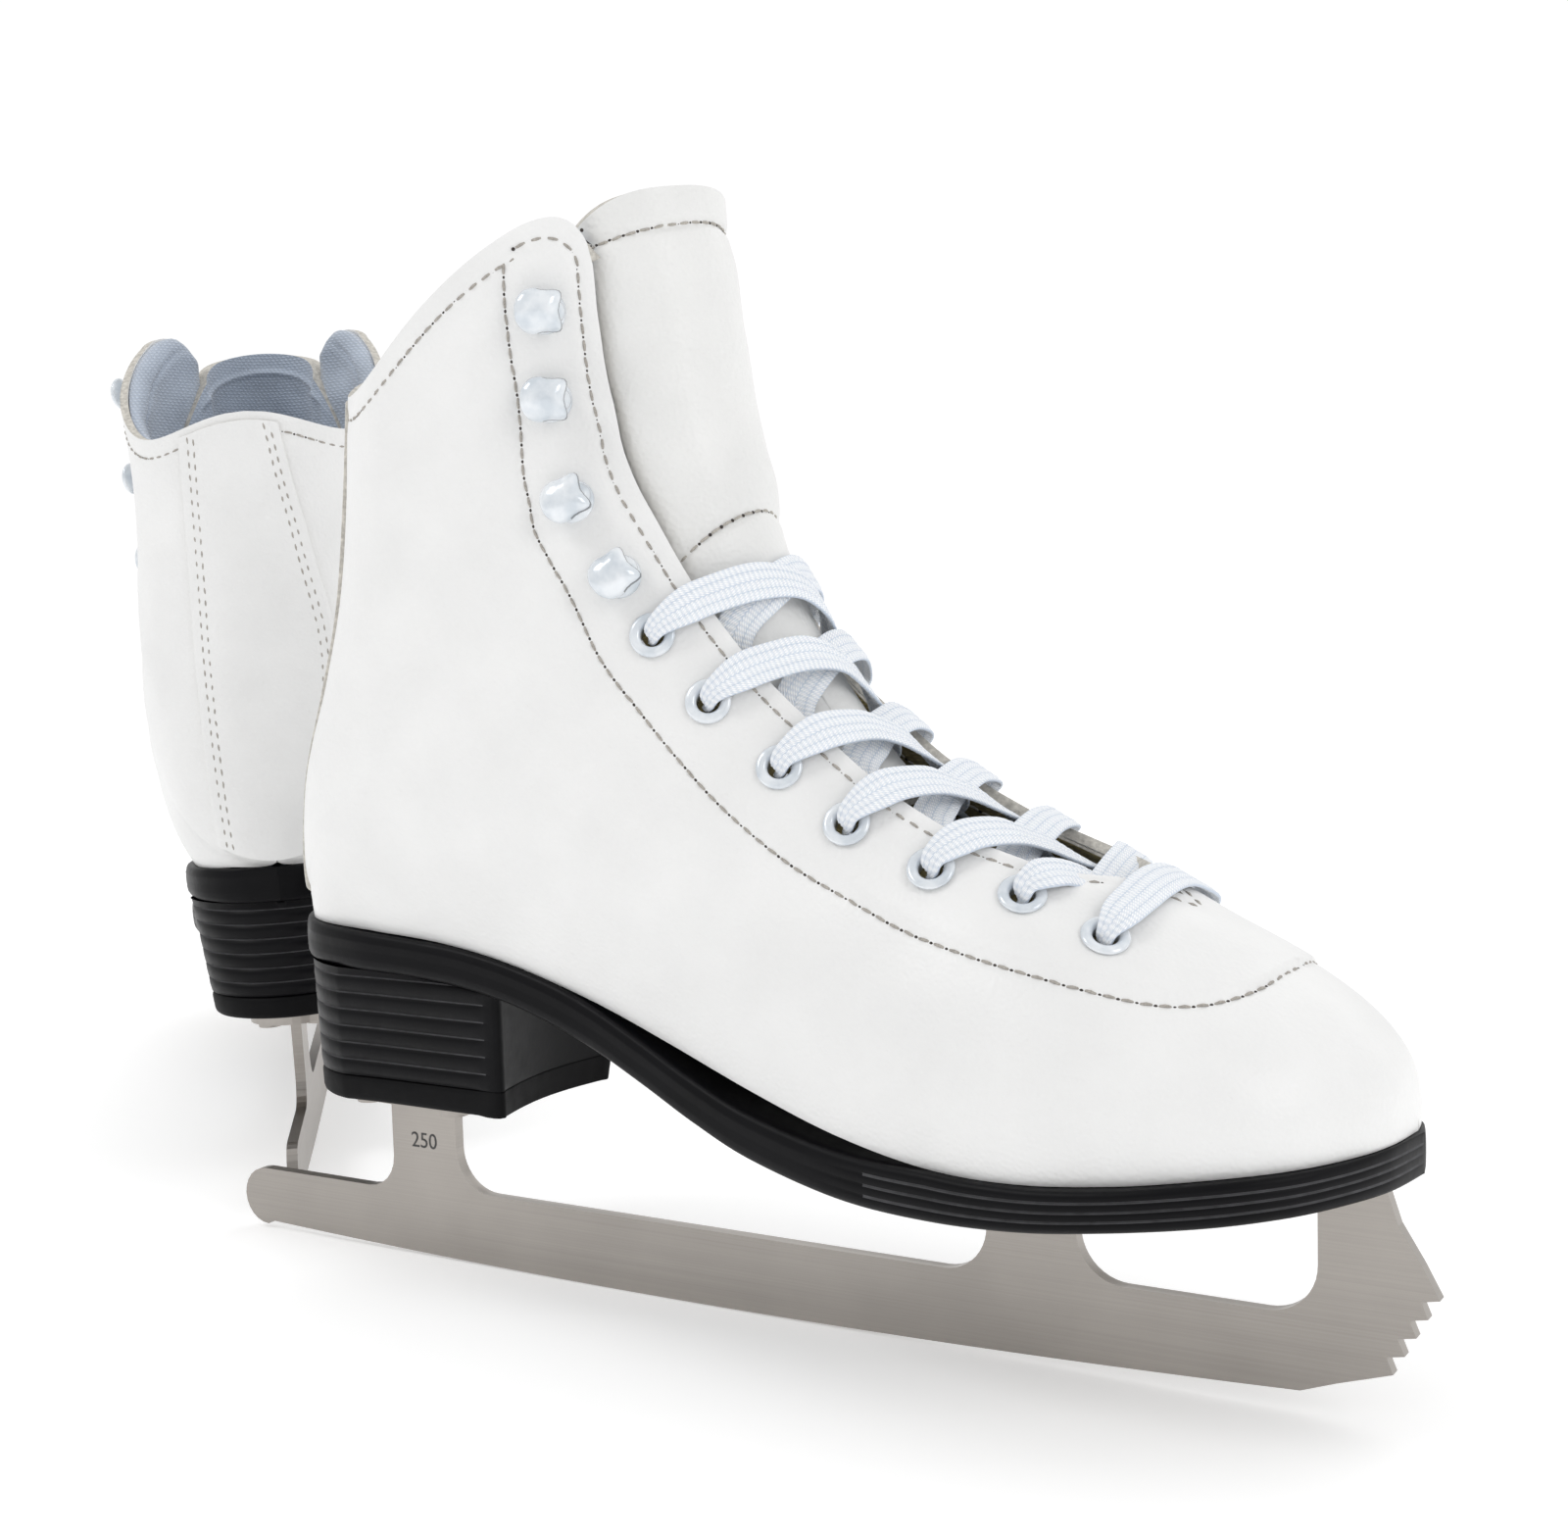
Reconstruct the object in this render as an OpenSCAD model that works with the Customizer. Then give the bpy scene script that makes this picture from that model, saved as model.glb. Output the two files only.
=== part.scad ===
// A pair of ice skates for figure skating: laced leather boots on stacked heels, each with a
// steel runner screwed to its sole. A skate is drawn with its heel at x = 0, its toe along +X,
// its inner side along +Y and its runner standing on z = 0. The left skate is the right one
// mirrored, turned and set down with its heel beside the right heel.

/* [Pair] */
// Turn of the left skate from the right one, degrees
left_turn = 129.3; // [125:0.1:135]
// Place of the left heel along the right skate
left_x = -45; // [-60:0.1:-40]
// Place of the left heel across the right skate
left_y = 36.5; // [30:0.1:50]
// Lean of the left skate to its outer side, degrees
left_lean = 2; // [0:0.1:5]
// Middle of the pair's floor area along the right skate
middle_x = 18.8; // [0:0.1:30]
// Middle of the pair's floor area across the right skate
middle_y = 98.9; // [80:0.1:120]

/* [Runner] */
// Thickness of the steel runner
runner_w = 2.8; // [2.4:0.1:3.6]
// Radius of the long curve of the runner's edge
rocker_r = 3000; // [2000:100:3500]
// Height of the bar under the windows
bar_h = 16.8; // [14:0.1:18]
// Length of the tail behind the heel
tail_l = 28; // [20:1:35]
// Number of teeth of the toe pick
picks = 5; // [4:1:6]
// Thickness of the mounting plates
plate_t = 2.5; // [2:0.1:3]

/* [Sole and heel] */
// Height of the heel's underside over the ice
heel_z = 41.6; // [40:0.1:44]
// Thickness of the outsole
sole_t = 9; // [8:0.5:10]
// Thickness of the rubber top lift
lift_t = 6; // [4:0.5:8]
// Number of layers in the stacked heel
layers = 6; // [4:1:7]
// Thickness of the insole board
board_t = 2.5; // [2:0.1:3]
// Thickness of the footbed
footbed_t = 3; // [2:0.5:4]

/* [Upper] */
// Thickness of the upper's leather
leather_t = 2.2; // [1.8:0.1:2.6]
// Thickness of the heel counter, the toe box and the ankle foam
stiff_t = 1.5; // [1:0.1:1.8]
// Thickness of the lining
lining_t = 2.4; // [1.5:0.1:3]
// Thickness of the facings and the back stay over the leather
overlay_t = 1.2; // [0.8:0.1:1.6]
// Thickness of the padded tongue
tongue_t = 7; // [5:0.5:8]
// Half width of the back stay
stay_w = 12; // [10:0.5:15]

/* [Lacing] */
// Outer diameter of an eyelet
eyelet_d = 9.2; // [8:0.1:10]
// Bore of an eyelet
eyelet_bore = 4.8; // [4:0.1:5.4]
// Distance of an eyelet from the facing's edge
eyelet_in = 7; // [6:0.5:9]
// Distance of a hook from the facing's edge
hook_in = 8; // [7:0.5:10]
// Width of a hook's head
hook_w = 9.6; // [8:0.1:11]
// Width of the flat lace
lace_w = 8; // [6:0.5:9]
// Thickness of the flat lace
lace_t = 1.6; // [1.2:0.1:2]

/* [Hidden] */
gap = 0.1;
layer_gap = 0.3; // distance between two layers of the boot
white = "white";
black = [0.08, 0.08, 0.09];
steel = [0.72, 0.70, 0.67];

// The boot's outer surface is lofted through stations that fan round from the toe, along the
// sole, round the heel and up the back. Each row holds, for the foot edge of its section, x, z
// and the outer and inner half widths; for the front ridge, x, z and y; the widest outer and
// inner half widths and how far up the section they lie; half the gap of the throat; and the
// distance of the facing's seam from the ridge.
STATIONS = [
    [261, 55, 0, 0, 261, 57, 3, 0, 0, 0.30, 0, 0],
    [259.5, 55, 12, 7, 259.5, 66, 3, 12.5, 7.5, 0.30, 0, 0],
    [255.2, 54.5, 21, 14, 255.2, 73, 2.5, 22, 14.5, 0.25, 0, 0],
    [247.5, 54, 31, 22, 247.5, 79.5, 2, 32, 22.5, 0.22, 0, 0],
    [235.5, 53, 39, 29, 236, 86, 2, 40, 29.5, 0.20, 0, 21],
    [219.5, 51, 43, 34, 221, 93, 1.5, 44, 35, 0.18, 0, 32.5],
    [202, 49.7, 44, 37, 206, 101, 1, 45, 38, 0.18, 13, 35.3],
    [183, 50, 42, 37, 191.5, 109, 0.5, 43.5, 38, 0.18, 19, 35.5],
    [163, 53, 38.5, 34, 177, 117.5, 0, 40, 36, 0.20, 20, 33.5],
    [141, 58.5, 34, 28, 162.5, 127.5, 0, 37, 33, 0.25, 19.5, 32],
    [119, 65, 30, 23, 149.5, 138.5, 0, 36, 32, 0.30, 19, 31.5],
    [97, 72, 27, 22, 139, 150, 0, 36, 32, 0.35, 19.7, 32],
    [77, 77.5, 26, 23, 131, 161.5, 0, 36.5, 33, 0.40, 20.6, 32.4],
    [58, 80.5, 25.5, 24.5, 125.5, 171, 0, 37, 34, 0.42, 20.5, 32],
    [39, 82, 25, 25, 121.5, 180, 0, 37, 35, 0.45, 20.7, 31.2],
    [20, 82.5, 21.5, 21.5, 118.5, 187.5, 0, 37, 35.5, 0.47, 20.8, 31],
    [10.5, 83, 12.5, 12.5, 116, 194.5, 0, 36.5, 35.5, 0.48, 20.4, 30.7],
    [7, 84, 0, 0, 114.3, 200.5, 0, 36.5, 35.5, 0.48, 20, 30.3],
    [6.5, 95, 0, 0, 113.2, 206, 0, 36, 35, 0.48, 20, 30],
    [9, 112, 0, 0, 112.3, 211.5, 0, 36, 35, 0.48, 20.4, 29.7],
    [15, 131, 0, 0, 111.6, 217, 0, 35.5, 35, 0.50, 20.9, 30.2],
    [21, 152, 0, 0, 111, 223, 0, 35.5, 35, 0.50, 21.5, 31],
    [25, 178, 0, 0, 110.5, 230, 0, 36, 36, 0.50, 22.8, 32],
    [28, 204, 0, 0, 110, 238, 0, 37, 37, 0.50, 27, 33],
];
TOE = 0.12;        // first station used, just behind the tip of the toe
APRON = 3.7;       // station where the facings meet over the toe
THROAT = 5.5;      // station where the throat opens
BACK = 17;         // station at the back of the heel, above which a section is closed
TOP = 23;          // station at the collar
COLLAR_DIP = 12.3; // how far the collar dips behind the ankle
FOLD = 13.2;       // station of the tongue's fold

// Catmull-Rom curve through a list of rows, at a row number that may lie between two rows
function cubic(a, b, c, d, f) =
    0.5 * (2 * b + (c - a) * f + (2 * a - 5 * b + 4 * c - d) * f * f
           + (3 * b - a - 3 * c + d) * f * f * f);
function row(list, s) =
    let (n = len(list) - 1, i = max(0, min(floor(s), n - 1)), f = s - i)
    cubic(list[max(i - 1, 0)], list[i], list[i + 1], list[min(i + 2, n)], f);

// Half width of a section at t, from its foot edge at t = 0 to its ridge at t = 1
function half_width(e, w, m, t) =
    t < m ? sqrt(max(0, e * e + (w * w - e * e) * (1 - pow((m - t) / m, 2))))
          : w * sqrt(max(0, 1 - pow((t - m) / (1 - m), 2)));
function dip(s, t) = COLLAR_DIP * pow(max(0, s - 14) / 9, 2) * 9.48 * t * pow(1 - t, 3);

// A point of the surface: s is the station, and w runs from -1 at the outer foot edge over 0 at
// the ridge to 1 at the inner foot edge
function skin(s, w) =
    let (q = row(STATIONS, s), t = 1 - abs(w), side = w < 0 ? -1 : 1,
         e = side < 0 ? q[2] : q[3], wide = side < 0 ? q[7] : q[8])
    [q[0] + (q[4] - q[0]) * t,
     q[6] + side * half_width(e, wide, q[9], t),
     q[1] + (q[5] - q[1]) * t - dip(s, t)];
function unit(v) = v / norm(v);
function normal(s, w) =
    let (h = 0.02, lo = w <= 0 ? -1 : 0, hi = w < 0 ? 0 : 1,
         dw = skin(s, min(w + h, hi)) - skin(s, max(w - h, lo)),
         ds = skin(min(s + h, TOP), w) - skin(max(s - h, 0), w),
         n = unit(cross(dw, ds)), closed = s >= BACK && abs(w) == 1)
    closed ? unit([n[0], 0, n[2]]) : n;
function off(s, w, d) = skin(s, w) + d * normal(s, w);

// The w at which the surface is y away from its ridge, on one side
function at_y(s, y, side) =
    let (q = row(STATIONS, s), wide = side < 0 ? q[7] : q[8],
         u = sqrt(max(0, 1 - pow(min(1, max(0, y) / max(wide, 1)), 2))))
    side * (1 - q[9]) * (1 - u);
function throat(s) = row(STATIONS, s)[10];
function edge_y(s) = s < THROAT ? 0 : throat(s);
function seam_y(s, side) =
    let (q = row(STATIONS, s)) max(q[11], 0.45 * (side < 0 ? q[7] : q[8]));

// The w at which the closed back of a section is y away from its middle, on one side
function back_y(s, y, side) =
    let (q = row(STATIONS, s), wide = side < 0 ? q[7] : q[8])
    side * (1 - q[9] * (1 - sqrt(1 - pow(y / wide, 2))));

// Grid of the boot's layers. Every layer uses the same stations and columns, so that the layers
// stay apart. Columns run from 0 at the foot edge over the seam to the throat or the ridge.
GRID = [TOE, 0.6, 1.2, 2, 2.8, APRON, 4.6, THROAT, 6.3, 7.1, 7.9, 8.7, 9.5, 10.3, 11.1, 11.9,
        12.6, 13.3, 14, 14.8, 15.6, 16.3, BACK, 17.8, 18.6, 19.6, 20.6, 21.6, 22.4, TOP];
SEAM = 5;  // column at the facing's seam
EDGE = 8;  // column at the throat's edge, or at the ridge in front of the throat
function stations(s0, s1) =
    concat([s0], [for (s = GRID) if (s > s0 + 0.05 && s < s1 - 0.05) s], [s1]);
function grid_w(s, c, side) =
    let (y = seam_y(s, side), a = 1 - abs(at_y(s, y, side)))
    c <= SEAM ? side * (1 - a * (1 - cos(90 * c / SEAM)))
              : at_y(s, y + (edge_y(s) - y) * (c - SEAM) / (EDGE - SEAM), side);
function band(c0, c1, side) =
    let (list = [for (c = [c0:c1]) c], n = len(list) - 1)
    side < 0 ? function(s) [for (c = list) grid_w(s, c, -1)]
             : function(s) [for (k = [n:-1:0]) grid_w(s, list[k], 1)];
function across(c0) =
    let (lo = band(c0, EDGE, -1), hi = band(c0, EDGE, 1))
    function(s) concat(lo(s), [for (k = [1:len(hi(s)) - 1]) hi(s)[k]]);

// A closed sheet between two offsets of the surface, over a list of stations and, at each, the
// list of w that columns(s) gives. An offset is a number, or a function of the station and of
// the place across the sheet, from 0 to 1.
function value(d, s, f) = is_function(d) ? d(s, f) : d;
module sheet(list, columns, d0, d1) {
    ns = len(list) - 1;
    nw = len(columns(list[0])) - 1;
    m = nw + 1;
    n = (ns + 1) * m;
    function layer(d) =
        [for (s = list) let (w = columns(s)) for (j = [0:nw]) off(s, w[j], value(d, s, j / nw))];
    function quad(a, b, c, d) = [[a, b, c], [a, c, d]];
    faces = [
        for (i = [0:ns - 1], j = [0:nw - 1])
            let (k = i * m + j)
            each concat(quad(k, k + m, k + m + 1, k + 1),
                        quad(n + k, n + k + 1, n + k + m + 1, n + k + m)),
        for (i = [0:ns - 1])
            let (k = i * m, l = k + nw)
            each concat(quad(k, n + k, n + k + m, k + m), quad(l, l + m, n + l + m, n + l)),
        for (j = [0:nw - 1])
            let (l = ns * m + j)
            each concat(quad(j, j + 1, n + j + 1, n + j), quad(l, n + l, n + l + 1, l + 1)),
    ];
    polyhedron(concat(layer(d1), layer(d0)), faces, convexity = 6);
}

// Puts its children on the surface, with +Z outwards and +X along the facing
module on_skin(s, w, d = 0) {
    p = off(s, w, d);
    z = normal(s, w);
    x = unit(skin(s + 0.1, w) - skin(s - 0.1, w));
    y = unit(cross(z, x));
    u = cross(y, z);
    multmatrix([[u[0], y[0], z[0], p[0]], [u[1], y[1], z[1], p[1]], [u[2], y[2], z[2], p[2]]])
        children();
}

// Eyelets and hooks
EYELETS = [5.61, 6.66, 7.75, 8.84, 9.84, 11.03, 12.27];
HOOKS = [14.0, 16.2, 19.6, 21.8];
function hole_y(s) = max(throat(s), 18) + eyelet_in;
function lace_hole(s, side) = at_y(s, hole_y(s), side);
function hook_place(s, side) = at_y(s, throat(s) + hook_in, side);

module lacing_holes(side) {
    for (s = EYELETS)
        on_skin(s, lace_hole(s, side), -6) cylinder(d = eyelet_bore + 1.6, h = 12, $fn = 24);
    for (s = HOOKS)
        on_skin(s, hook_place(s, side), -6) cylinder(d = 3.2, h = 12, $fn = 24);
}

// Sole: rows run along the outsole with x, outer and inner half widths, seam height, underside
SOLE = [
    [6.0, 0, 0, 83.0, 73.5],
    [7.5, 9.5, 9.5, 83.0, 73.5],
    [12.0, 17, 17, 83.0, 73.5],
    [20.0, 23, 23, 82.5, 73.5],
    [33.0, 26.5, 26.5, 82.0, 73.3],
    [48.0, 27, 26.5, 81.2, 72.8],
    [64.0, 27, 25.5, 79.8, 71.3],
    [80.0, 27.5, 24, 76.8, 68.0],
    [97.0, 28.5, 23, 72.0, 62.3],
    [112.0, 30.5, 23, 67.2, 56.0],
    [126.0, 33, 25.5, 62.8, 50.0],
    [141.0, 36, 30, 58.5, 45.0],
    [163.0, 40.5, 36, 53.0, 41.2],
    [183.0, 44, 39, 50.0, 40.6],
    [202.0, 45.5, 39, 49.7, 41.4],
    [219.0, 44.5, 36, 51.0, 43.2],
    [235.5, 40, 31.5, 53.0, 45.0],
    [247.5, 32, 24.5, 54.0, 46.2],
    [255.0, 22, 17, 54.5, 46.8],
    [259.8, 11, 10.5, 55.0, 47.0],
    [262.2, -2, 3, 55.0, 47.2],
];
SEAM_HEIGHT = 3; // column of the height of the upper's seam
UNDERSIDE = 4;   // column of the height of the outsole's underside
function sole_at(x, i = 1) =
    i >= len(SOLE) - 1 || SOLE[i][0] >= x
    ? row(SOLE, i - 1 + (x - SOLE[i - 1][0]) / (SOLE[i][0] - SOLE[i - 1][0]))
    : sole_at(x, i + 1);

// A slab that follows the sole between two rows, lifted by lo and hi from a height column
module sole_slab(r0, r1, column, lo, hi, inset, steps, bulge = 0) {
    rows = [for (i = [0:steps]) row(SOLE, r0 + (r1 - r0) * i / steps)];
    function ring(q) =
        let (a = -max(q[1] - inset, -q[2]), b = max(q[2] - inset, a + 0.5), z0 = q[column] + lo,
             top = q[column] + hi, z1 = column == UNDERSIDE ? min(top, q[SEAM_HEIGHT] - gap) : top,
             mid = (z0 + z1) / 2)
        [[q[0], a, z0], if (bulge > 0) [q[0], a - bulge, mid], [q[0], a, z1],
         [q[0], b, z1], if (bulge > 0) [q[0], b + bulge, mid], [q[0], b, z0]];
    points = [for (q = rows) each ring(q)];
    m = bulge > 0 ? 6 : 4;
    last = steps * m;
    faces = [
        for (i = [0:steps - 1], j = [0:m - 1])
            let (k = i * m + j, l = i * m + (j + 1) % m)
            each [[k, l + m, k + m], [k, l, l + m]],
        for (j = [1:m - 2]) [0, j + 1, j],
        for (j = [1:m - 2]) [last, last + j, last + j + 1],
    ];
    polyhedron(points, faces, convexity = 4);
}

// Runner
STANCHION_X = [20.5, 39.5];
WINDOW_1 = [39.5, 175.5];
WINDOW_2 = [195, 243.5];
window_r = 10;
rocker_x = 88;
toe_foot = [253.5, 8.5];
PICK_TOP = [266, 25];
PICK_END = [257.5, 9.8];
pick_depth = 3.2;
function rocker(x) = rocker_r - sqrt(rocker_r * rocker_r - pow(x - rocker_x, 2));
function plate_under(x) = sole_at(x)[UNDERSIDE] - plate_t - layer_gap;
function tooth(i, f) =
    let (a = PICK_TOP + (PICK_END - PICK_TOP) * i / (picks - 1)) a + f * [-pick_depth, -0.3];

module runner_outline() {
    polygon([
        for (x = [-20:10:240]) [x, rocker(x)],
        [247, rocker(247) + 2.2],
        toe_foot,
        for (i = [picks - 1:-1:0]) each [tooth(i, 0), if (i > 0) tooth(i - 0.9, 1)],
        [262.8, 31],
        [258.5, 38],
        [256.5, plate_under(256)],
        [250, plate_under(250)],
        [240, plate_under(240)],
        [220, plate_under(220)],
        [200, plate_under(200)],
        [180, plate_under(180)],
        [170, plate_under(170)],
        [166, 30],
        [STANCHION_X[1] + 4, 30],
        [STANCHION_X[1] + 4, heel_z - plate_t - gap],
        [STANCHION_X[0], heel_z - plate_t - gap],
        [STANCHION_X[0], 24],
        for (a = [0:15:90]) [12.5 + 8 * cos(a), 23 - 8 * sin(a)],
        [-20, 15],
        for (a = [90:15:270]) [-tail_l + 7 + 7 * cos(a), 8 + 7 * sin(a)],
    ]);
}

module window(span, floor_z) {
    difference() {
        translate([span[0], floor_z]) square([span[1] - span[0], 60]);
        for (k = [0, 1])
            translate([span[k], floor_z]) mirror([k, 0]) difference() {
                translate([-1, -1]) square([window_r + 1, window_r + 1]);
                translate([window_r, window_r]) circle(r = window_r, $fn = 48);
            }
    }
}

module runner() {
    color(steel) rotate([90, 0, 0]) translate([0, 0, -runner_w / 2])
        linear_extrude(runner_w) difference() {
            runner_outline();
            window(WINDOW_1, bar_h);
            window(WINDOW_2, bar_h + 1.7);
        }
}

// Mounting plates and their screws
HEEL_SCREWS = [[19, -6.5], [19, 6.5], [46, -9], [46, 9]];
SOLE_SCREWS = [[172, -20], [172, 20], [205, -24], [205, 22], [235, -17], [235, 16]];
screw_d = 4;
head_d = 6.5;
head_h = 1.2;
screw_l = 9;

module heel_plate_outline() {
    hull() {
        translate([22, 0]) circle(r = 12, $fn = 32);
        for (y = [-9.5, 9.5]) translate([50, y]) circle(r = 4, $fn = 32);
    }
}

module heel_plate() {
    color(steel) translate([0, 0, heel_z - plate_t - gap / 2]) difference() {
        linear_extrude(plate_t) heel_plate_outline();
        for (p = HEEL_SCREWS)
            translate([p[0], p[1], -1]) cylinder(d = screw_d + 0.4, h = plate_t + 2, $fn = 24);
    }
}

module sole_plate_outline() {
    hull() {
        for (y = [-24, 22]) translate([172, y]) circle(r = 7, $fn = 32);
        for (y = [-27, 25]) translate([204, y]) circle(r = 7, $fn = 32);
        for (y = [-17, 16]) translate([238, y]) circle(r = 8, $fn = 32);
    }
}

// A bent strip under or over the outsole, from x0 to x1, as wide as y0 to y1
module strip(x0, x1, y0, y1, column, lo, hi) {
    xs = [for (i = [0:10]) x0 + (x1 - x0) * i / 10];
    low = [for (x = xs) [x, sole_at(x)[column] + lo]];
    high = [for (i = [10:-1:0]) [xs[i], sole_at(xs[i])[column] + hi]];
    translate([0, y1, 0]) rotate([90, 0, 0]) linear_extrude(y1 - y0) polygon(concat(low, high));
}

module sole_plate() {
    color(steel) difference() {
        intersection() {
            strip(160, 248, -40, 40, UNDERSIDE, -plate_t - gap / 2, -gap / 2);
            translate([0, 0, 30]) linear_extrude(25) sole_plate_outline();
        }
        for (p = SOLE_SCREWS)
            translate([p[0], p[1], 30]) cylinder(d = screw_d + 0.4, h = 25, $fn = 24);
    }
}

module screw() {
    translate([0, 0, -head_h - 0.25]) cylinder(d = head_d, h = head_h, $fn = 32);
    translate([0, 0, -head_h - 0.25]) cylinder(d = screw_d, h = screw_l, $fn = 24);
}

module heel_screw_holes() {
    for (p = HEEL_SCREWS)
        translate([p[0], p[1], heel_z - 1]) cylinder(d = screw_d + 0.2, h = screw_l, $fn = 24);
}

module sole_screw_holes() {
    for (p = SOLE_SCREWS)
        translate([p[0], p[1], plate_under(p[0] + 2)])
            cylinder(d = screw_d + 0.2, h = screw_l, $fn = 24);
}

module heel_screws() {
    color(steel) for (p = HEEL_SCREWS)
        translate([p[0], p[1], heel_z - plate_t - gap / 2]) screw();
}

module sole_screws() {
    color(steel) for (p = SOLE_SCREWS)
        translate([p[0], p[1], plate_under(p[0] + 2)]) screw();
}

// Heel, outsole and what lies on them
heel_top = 73.2;   // height of the heel's seat under the outsole
groove = 0.35;     // height of the groove between two layers of the heel
sole_bulge = 0.6;  // how far the outsole's edge is rounded out
board_in = 9.8;    // distance of the insole board from the outsole's edge
footbed_in = 10.6;   // distance of the footbed from the outsole's edge
shank_w = 14;      // width of the steel shank
shank_t = 0.5;     // thickness of the steel shank
board_z = shank_t + 2 * gap;             // height of the insole board over the seam
footbed_z = board_z + board_t + gap;     // height of the footbed over the seam

module heel_section(z) {
    f = (z - heel_z) / 38;
    r = 21.5 + 4.5 * f;
    translate([0, 0, z]) linear_extrude(0.01) {
        translate([28 + 4.5 * f, 0]) circle(r = r, $fn = 32);
        translate([50 + 4 * f, -r + 1.5]) square([18.5, 2 * r - 3]);
    }
}

module heel_loft(z0, z1) {
    hull() {
        heel_section(z0);
        heel_section(z1);
    }
}

module top_lift() {
    color(black) difference() {
        heel_loft(heel_z, heel_z + lift_t);
        heel_screw_holes();
    }
}

module heel_block() {
    z0 = heel_z + lift_t + gap;
    step = (heel_top - z0) / layers;
    color(black) difference() {
        union() {
            for (i = [0:layers - 1])
                heel_loft(z0 + i * step + groove, z0 + (i + 1) * step);
            translate([28, 0, z0]) cylinder(r = 20.5, h = heel_top - z0, $fn = 64);
            translate([28, -19.5, z0]) cube([38, 39, heel_top - z0]);
        }
        translate([0, 40, 0]) rotate([90, 0, 0]) linear_extrude(80)
            polygon([for (x = [30:4:86]) [x, sole_at(x)[UNDERSIDE] - layer_gap], [86, 80], [30, 80]]);
        heel_screw_holes();
    }
}

module outsole() {
    color(black) difference() {
        sole_slab(0.1, 20, UNDERSIDE, 0, sole_t - sole_bulge, 0, 40, sole_bulge);
        sole_screw_holes();
    }
}

module insole_board() {
    color("tan") 
        sole_slab(3, 16.4, SEAM_HEIGHT, board_z, board_z + board_t, board_in, 26);
}

module footbed() {
    color("lightgrey") 
        sole_slab(3.1, 16, SEAM_HEIGHT, footbed_z, footbed_z + footbed_t, footbed_in, 24);
}

module shank() {
    color(steel) 
        strip(66, 144, -shank_w / 2, shank_w / 2, SEAM_HEIGHT, gap / 2, gap / 2 + shank_t);
}

// Upper
outer_t = -leather_t;
stiff_out = outer_t - layer_gap;
stiff_in = stiff_out - stiff_t;
lining_out = stiff_in - layer_gap;
lining_in = lining_out - lining_t;
tongue_out = lining_in - 0.4;
tongue_in = tongue_out - tongue_t;

module vamp() {
    color(white) difference() {
        sheet(stations(TOE, THROAT), across(0), outer_t, 0);
        lacing_holes(-1);
        lacing_holes(1);
    }
}

module quarter(side) {
    color(white) difference() {
        sheet(stations(THROAT + 0.02, TOP), band(0, EDGE, side), outer_t, 0);
        lacing_holes(side);
    }
}

module facing(side) {
    color(white) difference() {
        sheet(stations(APRON, TOP - 0.3), band(SEAM, EDGE, side), gap, overlay_t);
        lacing_holes(side);
    }
}

module back_stay_half(side) {
    columns = side < 0
        ? function(s) [for (y = [0, stay_w / 2, stay_w]) back_y(s, y, -1)]
        : function(s) [for (y = [stay_w, stay_w / 2, 0]) back_y(s, y, 1)];
    sheet(stations(BACK + 0.1, TOP - 0.2), columns, gap, overlay_t);
}

module back_stay() {
    color(white) {
        back_stay_half(-1);
        back_stay_half(1);
    }
}

// Columns of an inner layer, which clears the sole in front of the closed back
function inner_band(c1, side) =
    let (w = function(s, c) grid_w(s, max(c, s < BACK - 0.01 ? 0.75 : 0), side))
    side < 0 ? function(s) [for (c = [0:c1]) w(s, c)]
             : function(s) [for (c = [c1:-1:0]) w(s, c)];

module inner_halves(s0, s1, c1, d0, d1) {
    for (side = [-1, 1])
        sheet(stations(s0, s1), inner_band(c1, side), d0, d1);
}

module lining() {
    color("lightsteelblue") {
        sheet(stations(2, THROAT), across(2), lining_in, lining_out);
        inner_halves(THROAT + 0.1, TOP - 0.15, SEAM, lining_in, lining_out);
    }
}

module toe_box() {
    color("tan") sheet(stations(1.2, 4.6), across(1), stiff_in, stiff_out);
}

module heel_counter() {
    color("tan") inner_halves(12.6, 19.6, 3, stiff_in, stiff_out);
}

module ankle_foam() {
    color("khaki") inner_halves(19.7, TOP - 0.3, 3, stiff_in, stiff_out);
}

// Tongue: the lower part lies under the lacing, and the upper part stands in the throat and
// folds back into the boot. Its middle swells out past the facings towards the top.
SWELL = [[5, -3], [10, -2.5], [11.5, -0.5], [13.2, 4], [16, 6.5], [19, 7.5], [23, 6.5]];
function swell(s) = lookup(s, SWELL);
function tongue_half(s) = min(throat(s) + 8, 28);
function hump(f, flat) = max(0, 1 - pow(f / flat, 2));
function tongue_top(s, y) =
    tongue_out + (swell(s) - tongue_out) * hump(abs(y) / tongue_half(s), 0.6);
function even_y(s, half, n) = [for (k = [-n:n]) at_y(s, abs(k) / n * half, k < 0 ? -1 : 1)];

module tongue_lower() {
    outer = function(s, f) tongue_top(s, (2 * f - 1) * tongue_half(s));
    inner = function(s, f) outer(s, f) - tongue_t;
    color(white) sheet([for (i = [0:10]) THROAT + 0.5 + (FOLD - THROAT - 0.65) * i / 10],
                       function(s) even_y(s, tongue_half(s), 5), inner, outer);
}

module tongue_upper() {
    outer = function(s, f) -1 + (swell(s) + 1) * hump(abs(2 * f - 1), 1);
    inner = function(s, f) outer(s, f) - tongue_t;
    color(white) sheet([for (i = [0:12]) FOLD + 0.15 + (TOP - FOLD - 0.15) * i / 12],
                       function(s) even_y(s, throat(s) - 1.6, 4), inner, outer);
}

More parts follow.
